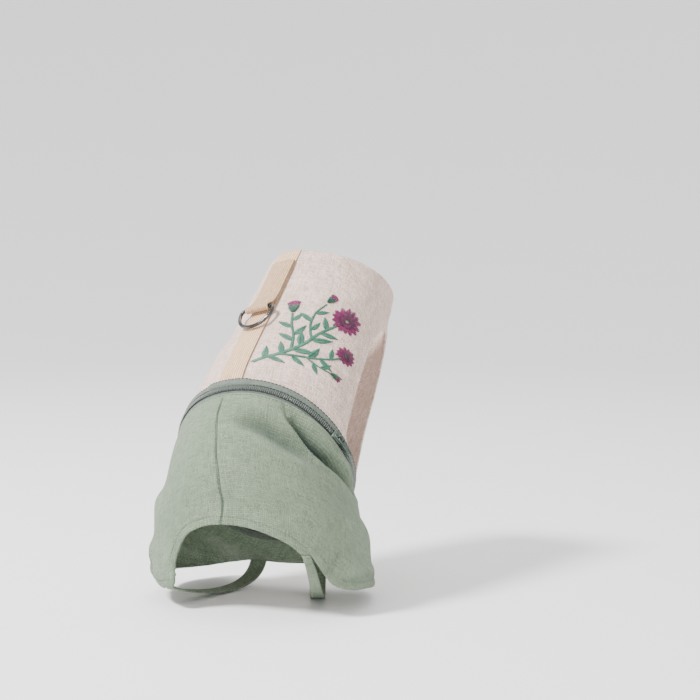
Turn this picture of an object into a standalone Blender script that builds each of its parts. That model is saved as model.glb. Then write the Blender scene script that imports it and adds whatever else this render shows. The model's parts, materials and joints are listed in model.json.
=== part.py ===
# A two-tone pet costume, worn: a beige linen vest and sage linen trousers joined by a zip round the waist.
# Metres, +Z up. The wearer faces -Y and sits, so the wearer's right is -X. The origin is the middle of the
# waist, inside the ring that the zip makes. Angles go round the body in degrees: 0 down the middle of the
# back, 90 at the wearer's left, -90 at the right, 180 at the belly.

import math

import bmesh
import bpy
import numpy as np
from mathutils import Matrix, Vector

# The wearer's body under the cloth
WAIST_HALF_WIDTH = 0.0615
WAIST_BACK_DEPTH = 0.0625   # middle of the waist to the back
WAIST_BELLY_DEPTH = 0.0585  # middle of the waist to the belly
WAIST_LEAN = 61.5           # degrees that the ring of the zip tips from level
WAIST_TURN = -11.0          # degrees that the waist is turned on the seat
VEST_REACH = 0.155          # middle of the waist to the middle of the neck edge
SEAT_HALF_WIDTH = 0.074
SEAT_DEPTH = 0.062          # middle of the seat to its back
TROUSERS_DROP = 0.080       # middle of the waist down to the side hems
KNEE_REACH = 0.010          # how far each knee stands forward of the belly
FLOOR_DEPTH = 0.088         # middle of the waist down to the underside of the inner-leg strips

# Cloth
VEST_WALL = 0.0014
TROUSERS_WALL = 0.0014
WEBBING_WALL = 0.0013
TAPE_WALL = 0.0008
CLEARANCE = 0.0003          # between pieces that lie on or beside each other

# The zip
CHAIN_WIDTH = 0.0032
CHAIN_WALL = 0.0018
TAPE_SHOWN = 0.0042         # tape between the teeth and its outer edge
TAPE_HIDDEN = 0.0015        # tape that lies under the trousers
VEST_EDGE_GAP = 0.0012      # between the teeth and the vest's edge, under the tape
TAPE_ROOM = 0.0008          # between the hidden tape and the trousers
TAPE_BARE = 0.0024          # tape that shows below the teeth
FOLD_RUN = 0.004            # below the tape, over this length the folds reach their depth
TAPE_CLIMB = 0.006          # over this length the upper tape climbs onto the webbing
SLIDER_ANGLE = -77.0
SLIDER_LENGTH = 0.0085
SLIDER_WIDTH = 0.0068
SLIDER_WALL = 0.0012
SLIDER_NOSE = 0.72          # the front edge as a share of the slider's width
BRIDGE_AHEAD = 0.0012       # middle of the bridge forward of the slider's middle
BRIDGE_WIDTH = 0.0016
BRIDGE_WALL = 0.0009
PULL_LENGTH = 0.0150
PULL_WIDTH = 0.0046
PULL_WALL = 0.0011
PULL_RAIL = 0.0011          # width of the frame round the pull's window
PULL_DROOP = 6.0            # degrees that the pull hangs towards the cloth at rest

# The webbing and its ring
STRAP_WIDTH = 0.020
STRAP_ANGLE = 1.0
RING_WIRE = 0.0026
RING_INNER_WIDTH = 0.0250
RING_REACH = 0.0165         # middle of the bar to the middle of the bow
RING_CORNER = 0.0030
RING_SHARE = 0.665          # where the bar lies, as a share of the vest's rise
RING_TILT = 4.0             # degrees that the ring tips towards the webbing at rest
LOOP_LENGTH = 0.040         # doubled webbing above the bar
LOOP_SLOPE = 0.005          # where its upper layer comes down off the bar
LOOP_WRAP = 190.0           # degrees that it turns round the bar
BOW_FULLNESS = 0.9          # below 1 the ring's bow is fuller than half an ellipse

# The plugs that cut the armholes, measured from the cloth
PLUG_REACH = 0.012          # at their rims, to each side
PLUG_CROWN = 0.019          # in their middles, to each side

# Mesh fineness
VEST_COLUMNS = 60
VEST_ROWS = 10
TROUSERS_ROWS = 15
ROW_CROWDING = 1.3          # the trousers' rows lie closer towards the zip
STRIP_ROWS = 10
STRAP_ROWS = 18
LOOP_TURNS = 10
RING_CORNER_STEPS = 4
RING_BOW_STEPS = 16

SHARE_STEP = 0.002          # for slopes along the body
ANGLE_STEP = 0.5            # degrees, for slopes round it

# Sections of the vest. Columns: share of the way from waist to neck; forward and up as shares of the
# reach; sideways as a share of the waist's half width; lean and turn in degrees; half width, back depth
# and belly depth as shares of the waist's; roundness (2 is an ellipse).
VEST_SECTIONS = (
    (0.00, 0.000, 0.000, 0.000, WAIST_LEAN, WAIST_TURN, 1.00, 1.00, 1.00, 2.10),
    (0.25, 0.121, 0.135, -0.013, 53.5, -14.0, 0.98, 0.94, 0.98, 2.10),
    (0.50, 0.266, 0.298, -0.030, 49.0, -16.0, 0.935, 0.87, 0.95, 2.10),
    (0.75, 0.439, 0.489, -0.050, 44.0, -17.5, 0.855, 0.80, 0.89, 2.05),
    (1.00, 0.665, 0.748, -0.073, 34.0, -19.0, 0.73, 0.74, 0.79, 2.00),
)

# Sections of the trousers below the waist. Columns: share of the way down to the hems; backward and down
# as shares of the drop; lean of the back half, lean of the front half and turn in degrees; half width as
# a share of the seat's, back depth and belly depth as shares of the seat's depth; roundness.
TROUSERS_SECTIONS = (
    (0.18, 0.02, 0.16, 30.0, 58.0, -7.0, 0.865, 1.00, 0.94, 2.20),
    (0.36, 0.04, 0.32, 20.0, 52.0, -3.0, 0.915, 0.975, 0.90, 2.28),
    (0.55, 0.055, 0.47, 18.0, 42.0, 0.0, 0.99, 0.94, 0.87, 2.33),
    (0.73, 0.04, 0.665, 12.0, 34.0, 0.0, 0.995, 0.955, 0.87, 2.37),
    (0.91, -0.02, 0.905, 0.0, 22.0, 0.0, 0.973, 1.04, 0.80, 2.40),
    (1.00, -0.04, 1.00, -1.0, 16.0, 0.0, 0.96, 1.03, 0.74, 2.40),
)

# The trousers' lower edge, from the belly round the wearer's right to the back and on round the left: the
# belly edge, a leg hem, the tail arch, the other leg hem. Columns: angle at the edge; share of the drop;
# angle at the waist of the same column of cells; cells up to the next row.
TROUSERS_EDGE = (
    (-180.0, 0.52, -180.0, 2),
    (-170.0, 0.53, -170.0, 2),   # front end of the right inner-leg strip
    (-161.0, 0.58, -161.0, 3),
    (-145.0, 0.74, -146.0, 4),
    (-118.0, 0.93, -122.0, 6),
    (-85.0, 0.97, -90.0, 5),
    (-62.0, 0.92, -72.0, 4),
    (-50.0, 0.83, -58.0, 3),
    (-43.5, 0.775, -48.0, 2),    # rear end of the right inner-leg strip
    (-38.0, 0.770, -41.0, 3),
    (-28.0, 0.715, -30.0, 4),
    (-12.0, 0.657, -13.0, 3),
    (0.0, 0.644, 0.0, 3),
    (12.0, 0.675, 13.0, 3),
    (22.0, 0.735, 24.0, 3),
    (27.5, 0.830, 33.0, 3),
    (29.0, 0.925, 41.0, 2),      # rear end of the left inner-leg strip
    (37.0, 0.968, 48.0, 3),
    (50.0, 1.00, 58.0, 4),
    (85.0, 0.98, 90.0, 6),
    (118.0, 0.93, 122.0, 4),
    (145.0, 0.74, 146.0, 3),
    (161.0, 0.58, 161.0, 2),     # front end of the left inner-leg strip
    (170.0, 0.53, 170.0, 2),
    (180.0, 0.52, 180.0, 0),
)
RIGHT_STRIP = (8, 1)             # rows of the edge where a strip starts, at the back and at the belly
LEFT_STRIP = (16, 22)
STRIP_RUN = 0.14                 # a strip runs on down the seat by this share before it turns under
STRIP_SPREAD = 1.25              # and its angle grows by this factor
STRIP_LEAD = 0.9                 # share of the way to the belly edge where it starts to rise
STRIP_LOWEST = 0.6               # share of the strip where it lies lowest

# Folds of the trousers. Columns: angle and share at the start, middle and end; height, minus inwards, and
# half width as shares of the seat's depth.
TROUSERS_FOLDS = (
    (-37.0, 0.030, -58.0, 0.072, -97.0, 0.150, -0.062, 0.070),
    (-46.0, 0.030, -66.0, 0.052, -99.0, 0.090, 0.050, 0.075),
    (-46.0, 0.105, -66.0, 0.122, -93.0, 0.165, 0.030, 0.060),
    (-6.0, 0.100, -30.0, 0.112, -62.0, 0.165, -0.026, 0.110),
    (42.0, 0.050, 62.0, 0.080, 96.0, 0.160, -0.040, 0.080),
    (70.0, 0.600, 84.0, 0.760, 88.0, 0.960, -0.030, 0.080),
    (-70.0, 0.640, -82.0, 0.780, -88.0, 0.960, -0.020, 0.080),
    (118.0, 0.300, 124.0, 0.500, 120.0, 0.800, -0.030, 0.090),
    (-118.0, 0.300, -124.0, 0.500, -120.0, 0.800, -0.030, 0.090),
)

# The hem band of a leg: it swells below its top, is drawn in along its stitches and closes at its edge.
CUFF_HEIGHT = 0.055              # share of the seat's depth
CUFF_ANGLE, CUFF_SPREAD = 80.0, 34.0
CUFF_TOP = (0.74, 0.82)          # shares of the drop
CUFF_STITCHES, CUFF_STITCH_WIDTH = 0.88, 0.022
CUFF_END = (0.94, 1.02)
CUFF_DRAWN_IN, CUFF_CLOSED = 0.45, 0.6

# The edge of an armhole, on the wearer's left. Columns: angle; share of the way from waist to neck.
ARMHOLE_EDGE = (
    (87.0, 0.11),
    (87.0, 0.27),
    (88.0, 0.41),
    (90.0, 0.56),
    (94.0, 0.69),
    (102.0, 0.79),
    (115.0, 0.84),
    (128.0, 0.82),
    (138.0, 0.72),
    (143.0, 0.56),
    (142.0, 0.38),
    (135.0, 0.21),
    (121.0, 0.11),
    (104.0, 0.075),
    (92.0, 0.075),
)


def smooth_rows(rows, keys):
    """The later columns of the rows, on smooth curves through them, at these values of the first."""
    table = np.array(rows, float)
    x, y = table[:, 0], table[:, 1:]
    slope = np.gradient(y, x, axis=0)
    i = np.clip(np.searchsorted(x, keys, side="right") - 1, 0, len(x) - 2)
    gap = (x[i + 1] - x[i])[:, None]
    u = (keys - x[i])[:, None] / gap
    start = y[i] * (2 * u**3 - 3 * u**2 + 1) + slope[i] * gap * (u**3 - 2 * u**2 + u)
    return start + y[i + 1] * (3 * u**2 - 2 * u**3) + slope[i + 1] * gap * (u**3 - u**2)


def ramp(value, low, high):
    u = np.clip((value - low) / (high - low), 0, 1)
    return u * u * (3 - 2 * u)


def bell(value, middle, half_width):
    return np.exp(-(((value - middle) / half_width) ** 2))


def round_section(centre, back_lean, front_lean, turn, half_width, back_depth, belly_depth, roundness, angle):
    """Points of leaning, rounded sections, one for each row of these arrays."""
    a, turn = np.radians(angle), np.radians(turn)
    lean = np.radians(back_lean + (front_lean - back_lean) * (1 - np.cos(a)) / 2)
    zero = np.zeros_like(lean)
    side = np.stack([zero + 1, zero, zero], 1)
    back = np.stack([zero, np.cos(lean), np.sin(lean)], 1)
    across = np.cos(turn)[:, None] * side + np.sin(turn)[:, None] * back
    spineward = np.cos(turn)[:, None] * back - np.sin(turn)[:, None] * side
    power = 2 / roundness
    s, c = np.sin(a), np.cos(a)
    width = half_width * np.sign(s) * np.abs(s) ** power
    depth = np.where(c >= 0, back_depth, belly_depth) * np.sign(c) * np.abs(c) ** power
    return centre + width[:, None] * across + depth[:, None] * spineward


def vest_surface(share, angle):
    forward, up, side, lean, turn, half, back, belly, roundness = smooth_rows(VEST_SECTIONS, share).T
    centre = np.stack([side * WAIST_HALF_WIDTH, -forward * VEST_REACH, up * VEST_REACH], 1)
    return round_section(centre, lean, lean, turn, half * WAIST_HALF_WIDTH, back * WAIST_BACK_DEPTH,
                         belly * WAIST_BELLY_DEPTH, roundness, angle)


def trousers_rows():
    """Sections of the trousers in metres, from the ring that they share with the vest."""
    rows = [(0.0, 0.0, 0.0, WAIST_LEAN, WAIST_LEAN, WAIST_TURN, WAIST_HALF_WIDTH, WAIST_BACK_DEPTH,
             WAIST_BELLY_DEPTH, 2.10)]
    for share, back, down, lean, front_lean, turn, half, depth, belly, roundness in TROUSERS_SECTIONS:
        rows.append((share, back * TROUSERS_DROP, -down * TROUSERS_DROP, lean, front_lean, turn,
                     half * SEAT_HALF_WIDTH, depth * SEAT_DEPTH, belly * SEAT_DEPTH, roundness))
    return rows


def trousers_surface(share, angle):
    """The seat without its folds."""
    columns = smooth_rows(trousers_rows(), share).T
    back, up, lean, front_lean, turn, half, back_depth, belly_depth, roundness = columns
    centre = np.stack([np.zeros_like(back), back, up], 1)
    points = round_section(centre, lean, front_lean, turn, half, back_depth, belly_depth, roundness, angle)
    knee = bell(np.abs(angle), 138, 24) * ramp(share, 0.3, 0.75)
    points[:, 1] -= KNEE_REACH * knee
    return points


def outward(surface, share, angle):
    """Unit normals of a surface, away from the body."""
    along = surface(share + SHARE_STEP, angle) - surface(share - SHARE_STEP, angle)
    round_it = surface(share, angle + ANGLE_STEP) - surface(share, angle - ANGLE_STEP)
    normal = np.cross(along, round_it)
    if surface is trousers_surface:
        normal = -normal
    return normal / np.linalg.norm(normal, axis=1)[:, None]


def lifted(surface, share, angle, lift):
    share, angle = np.broadcast_arrays(np.asarray(share, float), np.asarray(angle, float))
    shape = share.shape
    share, angle = share.ravel(), angle.ravel()
    lift = np.broadcast_to(lift, shape).ravel()
    points = surface(share, angle) + outward(surface, share, angle) * lift[:, None]
    return points.reshape(shape + (3,))


def share_at(surface, angle, distance):
    """How far along each angle's line, as a share, lies a distance from the waist."""
    steps = np.linspace(0, 0.3, 121)
    shares, angles = np.meshgrid(steps, angle, indexing="ij")
    points = surface(shares.ravel(), angles.ravel()).reshape(shares.shape + (3,))
    run = np.linalg.norm(np.diff(points, axis=0), axis=2).cumsum(axis=0)
    run = np.vstack([np.zeros((1, len(angle))), run])
    return np.array([np.interp(distance, run[:, i], steps) for i in range(len(angle))])


def fold_height(points):
    """How far the folds move each point of the trousers, along its normal."""
    height = np.zeros(len(points))
    steps = np.linspace(0, 1, 25)
    for a0, s0, a1, s1, a2, s2, tall, half_width in TROUSERS_FOLDS:
        path = smooth_rows(((0, a0, s0), (0.5, a1, s1), (1, a2, s2)), steps)
        line = trousers_surface(path[:, 1], path[:, 0])
        gap = np.linalg.norm(points[:, None] - line[None], axis=2)
        nearest = gap.argmin(axis=1)
        taper = np.sin(math.pi * np.clip(steps[nearest], 0.06, 0.94)) ** 0.6
        height += tall * SEAT_DEPTH * taper * bell(gap.min(axis=1), 0, half_width * SEAT_DEPTH)
    return height


def cuff_height(share, angle):
    """The hem band swells over the knees and pinches where it is stitched."""
    sides = bell(np.abs(angle), CUFF_ANGLE, CUFF_SPREAD)
    stitched = 1 - CUFF_DRAWN_IN * bell(share, CUFF_STITCHES, CUFF_STITCH_WIDTH)
    closing = 1 - CUFF_CLOSED * ramp(share, *CUFF_END)
    return CUFF_HEIGHT * SEAT_DEPTH * sides * ramp(share, *CUFF_TOP) * stitched * closing


def material(name, colour, roughness, metallic=0.0):
    made = bpy.data.materials.new(name)
    made.use_nodes = True
    shader = made.node_tree.nodes["Principled BSDF"]
    shader.inputs["Base Color"].default_value = (*colour, 1)
    shader.inputs["Roughness"].default_value = roughness
    shader.inputs["Metallic"].default_value = metallic
    return made


def add_object(name, mesh, collection, finish=None):
    made = bpy.data.objects.new(name, mesh)
    collection.objects.link(made)
    if finish is not None:
        mesh.materials.append(finish)
        mesh.shade_smooth()
        mesh.set_sharp_from_angle(angle=math.radians(40))
    return made


def sheet_mesh(name, grid, wrap, rows_run_up=True):
    """An open mesh of quads, facing outward, on a grid of points, closed on itself sideways for a wrap."""
    rows, columns = grid.shape[:2]
    mesh = bmesh.new()
    verts = [[mesh.verts.new(point) for point in row] for row in grid]
    for r in range(rows - 1):
        for c in range(columns if wrap else columns - 1):
            d = (c + 1) % columns
            corners = [verts[r][c], verts[r + 1][c], verts[r + 1][d], verts[r][d]]
            mesh.faces.new(corners if rows_run_up else corners[::-1])
    bmesh.ops.remove_doubles(mesh, verts=mesh.verts, dist=1e-6)
    made = bpy.data.meshes.new(name)
    mesh.to_mesh(made)
    mesh.free()
    return made


def thicken(obj, wall, side):
    """Side 1 puts the wall outside the sheet, side -1 inside."""
    shell = obj.modifiers.new("wall", "SOLIDIFY")
    shell.thickness = wall
    shell.offset = side
    shell.use_even_offset = True


def ring_angles():
    return np.linspace(-180, 180, VEST_COLUMNS, endpoint=False)


def tape_lift(angle, share):
    """The upper tape climbs over the webbing that is tucked under it."""
    middle = vest_surface(share, np.full_like(angle, STRAP_ANGLE))
    metres = np.linalg.norm(vest_surface(share, angle) - middle, axis=1)
    over = 1 - ramp(metres, (STRAP_WIDTH + TAPE_CLIMB) / 2, (STRAP_WIDTH + 3 * TAPE_CLIMB) / 2)
    return CLEARANCE + over * (WEBBING_WALL + CLEARANCE)


def vest_shell(collection, cutters, finish):
    angle = ring_angles()
    low = share_at(vest_surface, angle, CHAIN_WIDTH / 2 + VEST_EDGE_GAP)
    rows = []
    for r in range(VEST_ROWS + 1):
        share = low + (1 - low) * r / VEST_ROWS
        rows.append(lifted(vest_surface, share, angle, 0.0))
    shell = add_object("vest_shell", sheet_mesh("vest_shell", np.array(rows), True), collection, finish)
    thicken(shell, VEST_WALL, -1)
    for name, sign in (("armhole_left", 1), ("armhole_right", -1)):
        hole = shell.modifiers.new(name, "BOOLEAN")
        hole.operation = "DIFFERENCE"
        hole.object = armhole_cutter(name, sign, cutters)
    return shell


def armhole_cutter(name, sign, cutters):
    """A plug through the cloth whose rim is the armhole's edge."""
    looped = [(i, *row) for i, row in enumerate(ARMHOLE_EDGE + ARMHOLE_EDGE[:3])]
    keys = np.linspace(1, len(ARMHOLE_EDGE) + 1, 37)[:-1]
    edge = smooth_rows(looped, keys)
    angle, share = sign * edge[:, 0], edge[:, 1]
    inside = lifted(vest_surface, share, angle, -PLUG_REACH)
    outside = lifted(vest_surface, share, angle, PLUG_REACH)
    middle_angle, middle_share = np.array([angle.mean()]), np.array([share.mean()])
    mesh = bmesh.new()
    inner = [mesh.verts.new(point) for point in inside]
    outer = [mesh.verts.new(point) for point in outside]
    deep = mesh.verts.new(lifted(vest_surface, middle_share, middle_angle, -PLUG_CROWN)[0])
    proud = mesh.verts.new(lifted(vest_surface, middle_share, middle_angle, PLUG_CROWN)[0])
    for i in range(len(inner)):
        j = (i + 1) % len(inner)
        mesh.faces.new((inner[i], inner[j], outer[j], outer[i]))
        mesh.faces.new((outer[i], outer[j], proud))
        mesh.faces.new((inner[j], inner[i], deep))
    bmesh.ops.recalc_face_normals(mesh, faces=mesh.faces)
    made = bpy.data.meshes.new(name)
    mesh.to_mesh(made)
    mesh.free()
    cutter = add_object(name + "_cutter", made, cutters)
    cutter.hide_render = True
    cutter.display_type = "WIRE"
    return cutter


def zip_tapes_and_chain(collection, finishes):
    angle = ring_angles()
    near, far = CHAIN_WIDTH / 2 + CLEARANCE, CHAIN_WIDTH / 2 + TAPE_SHOWN
    rows = []
    for distance in (near, (near + far) / 2, far):
        share = share_at(vest_surface, angle, distance)
        rows.append(lifted(vest_surface, share, angle, tape_lift(angle, share)))
    band = sheet_mesh("zip_tape_upper", np.array(rows), True)
    thicken(add_object("zip_tape_upper", band, collection, finishes["tape"]), TAPE_WALL, 1)

    under = TROUSERS_WALL + TAPE_ROOM
    rows = []
    for distance in (near, CHAIN_WIDTH / 2 + TAPE_BARE, CHAIN_WIDTH / 2 + TAPE_BARE + TAPE_HIDDEN):
        share = share_at(trousers_surface, angle, distance)
        rows.append(lifted(trousers_surface, share, angle, -under))
    band = sheet_mesh("zip_tape_lower", np.array(rows), True, False)
    thicken(add_object("zip_tape_lower", band, collection, finishes["tape"]), TAPE_WALL, -1)

    low = share_at(trousers_surface, angle, CHAIN_WIDTH / 2)
    high = share_at(vest_surface, angle, CHAIN_WIDTH / 2)
    half = CHAIN_WALL / 2
    rows = [lifted(trousers_surface, low, angle, -half), lifted(trousers_surface, low, angle, half),
            lifted(vest_surface, high, angle, half), lifted(vest_surface, high, angle, -half)]
    band = sheet_mesh("zip_chain", np.array(rows + rows[:1]), True)
    add_object("zip_chain", band, collection, finishes["chain"])


def strap_grid(shares, lift):
    """Points across and along the middle of the back, as wide as the webbing."""
    across = np.linspace(-0.5, 0.5, 5)
    middle = np.full(len(shares), STRAP_ANGLE)
    per_degree = np.linalg.norm(
        vest_surface(shares, middle + ANGLE_STEP) - vest_surface(shares, middle - ANGLE_STEP), axis=1)
    half_turn = STRAP_WIDTH * 2 * ANGLE_STEP / per_degree
    angle = STRAP_ANGLE + across[None, :] * half_turn[:, None]
    share = np.repeat(shares[:, None], len(across), axis=1)
    return lifted(vest_surface, share, angle, lift)


def strap_start():
    return share_at(vest_surface, np.array([STRAP_ANGLE]), CHAIN_WIDTH / 2 + VEST_EDGE_GAP)[0]


def back_webbing(collection, finish):
    shares = np.linspace(strap_start(), 1.0, STRAP_ROWS)
    grid = strap_grid(shares, CLEARANCE)
    strap = add_object("back_webbing", sheet_mesh("back_webbing", grid, False), collection, finish)
    thicken(strap, WEBBING_WALL, 1)


def ring_frame():
    """The ring's place on the webbing: the bar's middle, and unit vectors across, down the back and out."""
    share, angle = np.array([RING_SHARE]), np.array([STRAP_ANGLE])
    foot = vest_surface(share, angle)[0]
    out = outward(vest_surface, share, angle)[0]
    across = vest_surface(share, angle + ANGLE_STEP)[0] - vest_surface(share, angle - ANGLE_STEP)[0]
    across = across / np.linalg.norm(across)
    down = np.cross(out, across)
    if down[2] > 0:
        down = -down
    return Vector(foot + out * ring_height()), Vector(across), Vector(down), Vector(out)


def ring_height():
    """The bar's middle over the vest: it lies on two layers of webbing."""
    return 2 * (CLEARANCE + WEBBING_WALL) + CLEARANCE + RING_WIRE / 2


def ring_loop(collection, finish):
    """Webbing that comes down the back, turns round the bar and runs back up under itself."""
    centre, across, down, out = (np.array(vector) for vector in ring_frame())
    radius = RING_WIRE / 2 + CLEARANCE + WEBBING_WALL / 2
    bar_height = ring_height()
    under = bar_height - radius
    over = under + WEBBING_WALL + CLEARANCE
    lengths = np.linspace(LOOP_LENGTH, LOOP_SLOPE, 8)
    path = [(-length, under) for length in lengths] + [(-LOOP_SLOPE / 2, under)]
    for i in range(LOOP_TURNS + 1):
        turn = math.radians(-90 + LOOP_WRAP * i / LOOP_TURNS)
        path.append((radius * math.cos(turn), bar_height + radius * math.sin(turn)))
    path.append((-LOOP_SLOPE / 2, (bar_height + radius) * 0.55 + over * 0.45))
    path += [(-length, over) for length in lengths[::-1]]
    path = np.array(path)

    middle = np.full(2, STRAP_ANGLE)
    ends = vest_surface(np.array([RING_SHARE - SHARE_STEP, RING_SHARE + SHARE_STEP]), middle)
    per_metre = 2 * SHARE_STEP / np.linalg.norm(ends[1] - ends[0])
    shares = RING_SHARE - path[:, 0] * per_metre
    on_back = strap_grid(shares, path[:, 1][:, None])
    aside = np.linspace(-0.5, 0.5, on_back.shape[1]) * STRAP_WIDTH
    beside = aside[None, :, None] * across
    on_bar = centre + path[:, :1, None] * down + (path[:, 1:, None] - bar_height) * out + beside
    settle = ramp(-path[:, 0], 0.3 * LOOP_SLOPE, 2 * LOOP_SLOPE)[:, None, None]
    grid = on_bar * (1 - settle) + on_back * settle
    loop = add_object("ring_loop", sheet_mesh("ring_loop", grid, False), collection, finish)
    thicken(loop, WEBBING_WALL, 0)


def d_ring(collection, finish):
    centre, across, down, out = ring_frame()
    half = RING_INNER_WIDTH / 2 + RING_WIRE / 2
    corner = []
    for i in range(RING_CORNER_STEPS + 1):
        a = math.pi / 2 * i / RING_CORNER_STEPS
        corner.append((half - RING_CORNER * (1 - math.sin(a)), RING_CORNER * (1 - math.cos(a))))
    bow = []
    for i in range(1, RING_BOW_STEPS):
        a = math.pi * i / RING_BOW_STEPS
        rise = (RING_REACH - RING_CORNER) * math.sin(a) ** BOW_FULLNESS
        bow.append((half * math.cos(a), RING_CORNER + rise))
    points = corner + bow + [(-x, y) for x, y in reversed(corner)]
    wire = bpy.data.curves.new("d_ring", "CURVE")
    wire.dimensions = "3D"
    wire.bevel_depth = RING_WIRE / 2
    wire.bevel_resolution = 2
    spline = wire.splines.new("POLY")
    spline.points.add(len(points) - 1)
    for point, (x, y) in zip(spline.points, points):
        point.co = (x, y, 0, 1)
    spline.use_cyclic_u = True
    ring = add_object("d_ring", wire, collection)
    wire.materials.append(finish)
    lift = math.radians(RING_TILT)
    lie = (down * math.cos(lift) - out * math.sin(lift)).normalized()
    ring.matrix_world = Matrix((across, lie, across.cross(lie))).transposed().to_4x4()
    ring.location = centre


def slider_frame():
    """The slider's place on the teeth: a point, and unit vectors forward along them, up the vest and out."""
    share, angle = np.zeros(1), np.array([SLIDER_ANGLE])
    foot = vest_surface(share, angle)[0]
    forward = vest_surface(share, angle - ANGLE_STEP)[0] - vest_surface(share, angle + ANGLE_STEP)[0]
    forward = forward / np.linalg.norm(forward)
    out = outward(vest_surface, share, angle)[0] + outward(trousers_surface, share, angle)[0]
    out = out - forward * out.dot(forward)
    out = out / np.linalg.norm(out)
    return Vector(foot), Vector(forward), Vector(np.cross(out, forward)), Vector(out)


def outlined(name, outline, hole, wall):
    """A plate from its outline, with one hole, as a mesh in its own frame: x and y along it, z through it."""
    flat = bpy.data.curves.new(name, "CURVE")
    flat.dimensions = "2D"
    flat.fill_mode = "BOTH"
    flat.extrude = wall / 2
    for points in (outline, hole):
        spline = flat.splines.new("POLY")
        spline.points.add(len(points) - 1)
        for point, (x, y) in zip(spline.points, points):
            point.co = (x, y, 0, 1)
        spline.use_cyclic_u = True
    guide = bpy.data.objects.new(name, flat)
    bpy.context.scene.collection.objects.link(guide)
    solid = bpy.data.meshes.new_from_object(guide.evaluated_get(bpy.context.evaluated_depsgraph_get()))
    bpy.data.objects.remove(guide)
    mesh = bmesh.new()
    mesh.from_mesh(solid)
    bmesh.ops.remove_doubles(mesh, verts=mesh.verts, dist=1e-6)
    mesh.to_mesh(solid)
    mesh.free()
    return solid


def zip_slider(collection, cutters, finish):
    """A plate over the teeth with a bridge along it for the pull."""
    foot, forward, up, out = slider_frame()
    mesh = bmesh.new()
    bmesh.ops.create_cube(mesh, size=1)
    bmesh.ops.scale(mesh, verts=mesh.verts, vec=(SLIDER_LENGTH, SLIDER_WIDTH, SLIDER_WALL))
    for vert in mesh.verts:
        if vert.co.x > 0:
            vert.co.y *= SLIDER_NOSE
    plate = bpy.data.meshes.new("zip_slider")
    mesh.to_mesh(plate)
    mesh.free()
    slider = add_object("zip_slider", plate, collection, finish)
    slider.matrix_world = Matrix((forward, up, out)).transposed().to_4x4()
    slider.location = foot + out * (slider_floor() + SLIDER_WALL / 2)
    round_it = slider.modifiers.new("rounding", "BEVEL")
    round_it.width = SLIDER_WALL * 0.3
    round_it.segments = 2

    opening = bridge_opening()
    half, tall = opening / 2 + BRIDGE_WALL, opening + BRIDGE_WALL
    sunk = SLIDER_WALL / 2
    outline = [(-half, -sunk), (half, -sunk), (half, tall * 0.6), (half * 0.6, tall), (-half * 0.6, tall),
               (-half, tall * 0.6)]
    hole = [(-opening / 2, 0), (opening / 2, 0), (opening / 2, opening * 0.75), (opening / 4, opening),
            (-opening / 4, opening), (-opening / 2, opening * 0.75)]
    bridge = add_object("bridge", outlined("bridge", outline, hole, BRIDGE_WIDTH), cutters)
    bridge.matrix_world = Matrix((forward, out, forward.cross(out))).transposed().to_4x4()
    bridge.location = foot + forward * BRIDGE_AHEAD + out * (slider_floor() + SLIDER_WALL)
    bridge.hide_render = True
    bridge.display_type = "WIRE"
    join = slider.modifiers.new("bridge", "BOOLEAN")
    join.operation = "UNION"
    join.object = bridge


def slider_floor():
    """The slider's underside over the middle of the teeth: clear of the teeth and of the upper tape."""
    foot, _, _, out = (np.array(vector) for vector in slider_frame())
    half_turn = math.degrees(SLIDER_LENGTH / 2 / WAIST_HALF_WIDTH)
    angle = SLIDER_ANGLE + np.linspace(-half_turn, half_turn, 9)
    tops = []
    for surface in (vest_surface, trousers_surface):
        tops.append(lifted(surface, share_at(surface, angle, CHAIN_WIDTH / 2), angle, CHAIN_WALL / 2))
    for distance in np.linspace(CHAIN_WIDTH / 2, SLIDER_WIDTH / 2, 4):
        share = share_at(vest_surface, angle, distance)
        tops.append(lifted(vest_surface, share, angle, tape_lift(angle, share) + TAPE_WALL))
    return max(((points - foot) @ out).max() for points in tops) + CLEARANCE


def bridge_opening():
    """Room for the pull's bar to turn under the bridge."""
    return math.hypot(PULL_RAIL, PULL_WALL) + 2 * CLEARANCE


def zip_pull(collection, finish):
    """A flat tab whose window goes round the bridge. Its origin is the middle of the bar under the bridge."""
    foot, forward, up, out = slider_frame()
    opening = bridge_opening()
    half, rail = PULL_WIDTH / 2, PULL_RAIL
    window = opening + 2 * BRIDGE_WALL
    outline = [(-rail / 2, -half * 0.8), (rail * 0.3, -half), (PULL_LENGTH * 0.8, -half),
               (PULL_LENGTH, -half * 0.55), (PULL_LENGTH, half * 0.55), (PULL_LENGTH * 0.8, half),
               (rail * 0.3, half), (-rail / 2, half * 0.8)]
    hole = [(rail / 2, rail - half), (window, rail - half), (window, half - rail), (rail / 2, half - rail)]
    pull = add_object("zip_pull", outlined("zip_pull", outline, hole, PULL_WALL), collection, finish)
    droop = math.radians(PULL_DROOP)
    lie = forward * math.cos(droop) - out * math.sin(droop)
    pull.matrix_world = Matrix((lie, up, lie.cross(up))).transposed().to_4x4()
    pull.location = foot + forward * BRIDGE_AHEAD + out * (slider_floor() + SLIDER_WALL + opening / 2)


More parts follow.
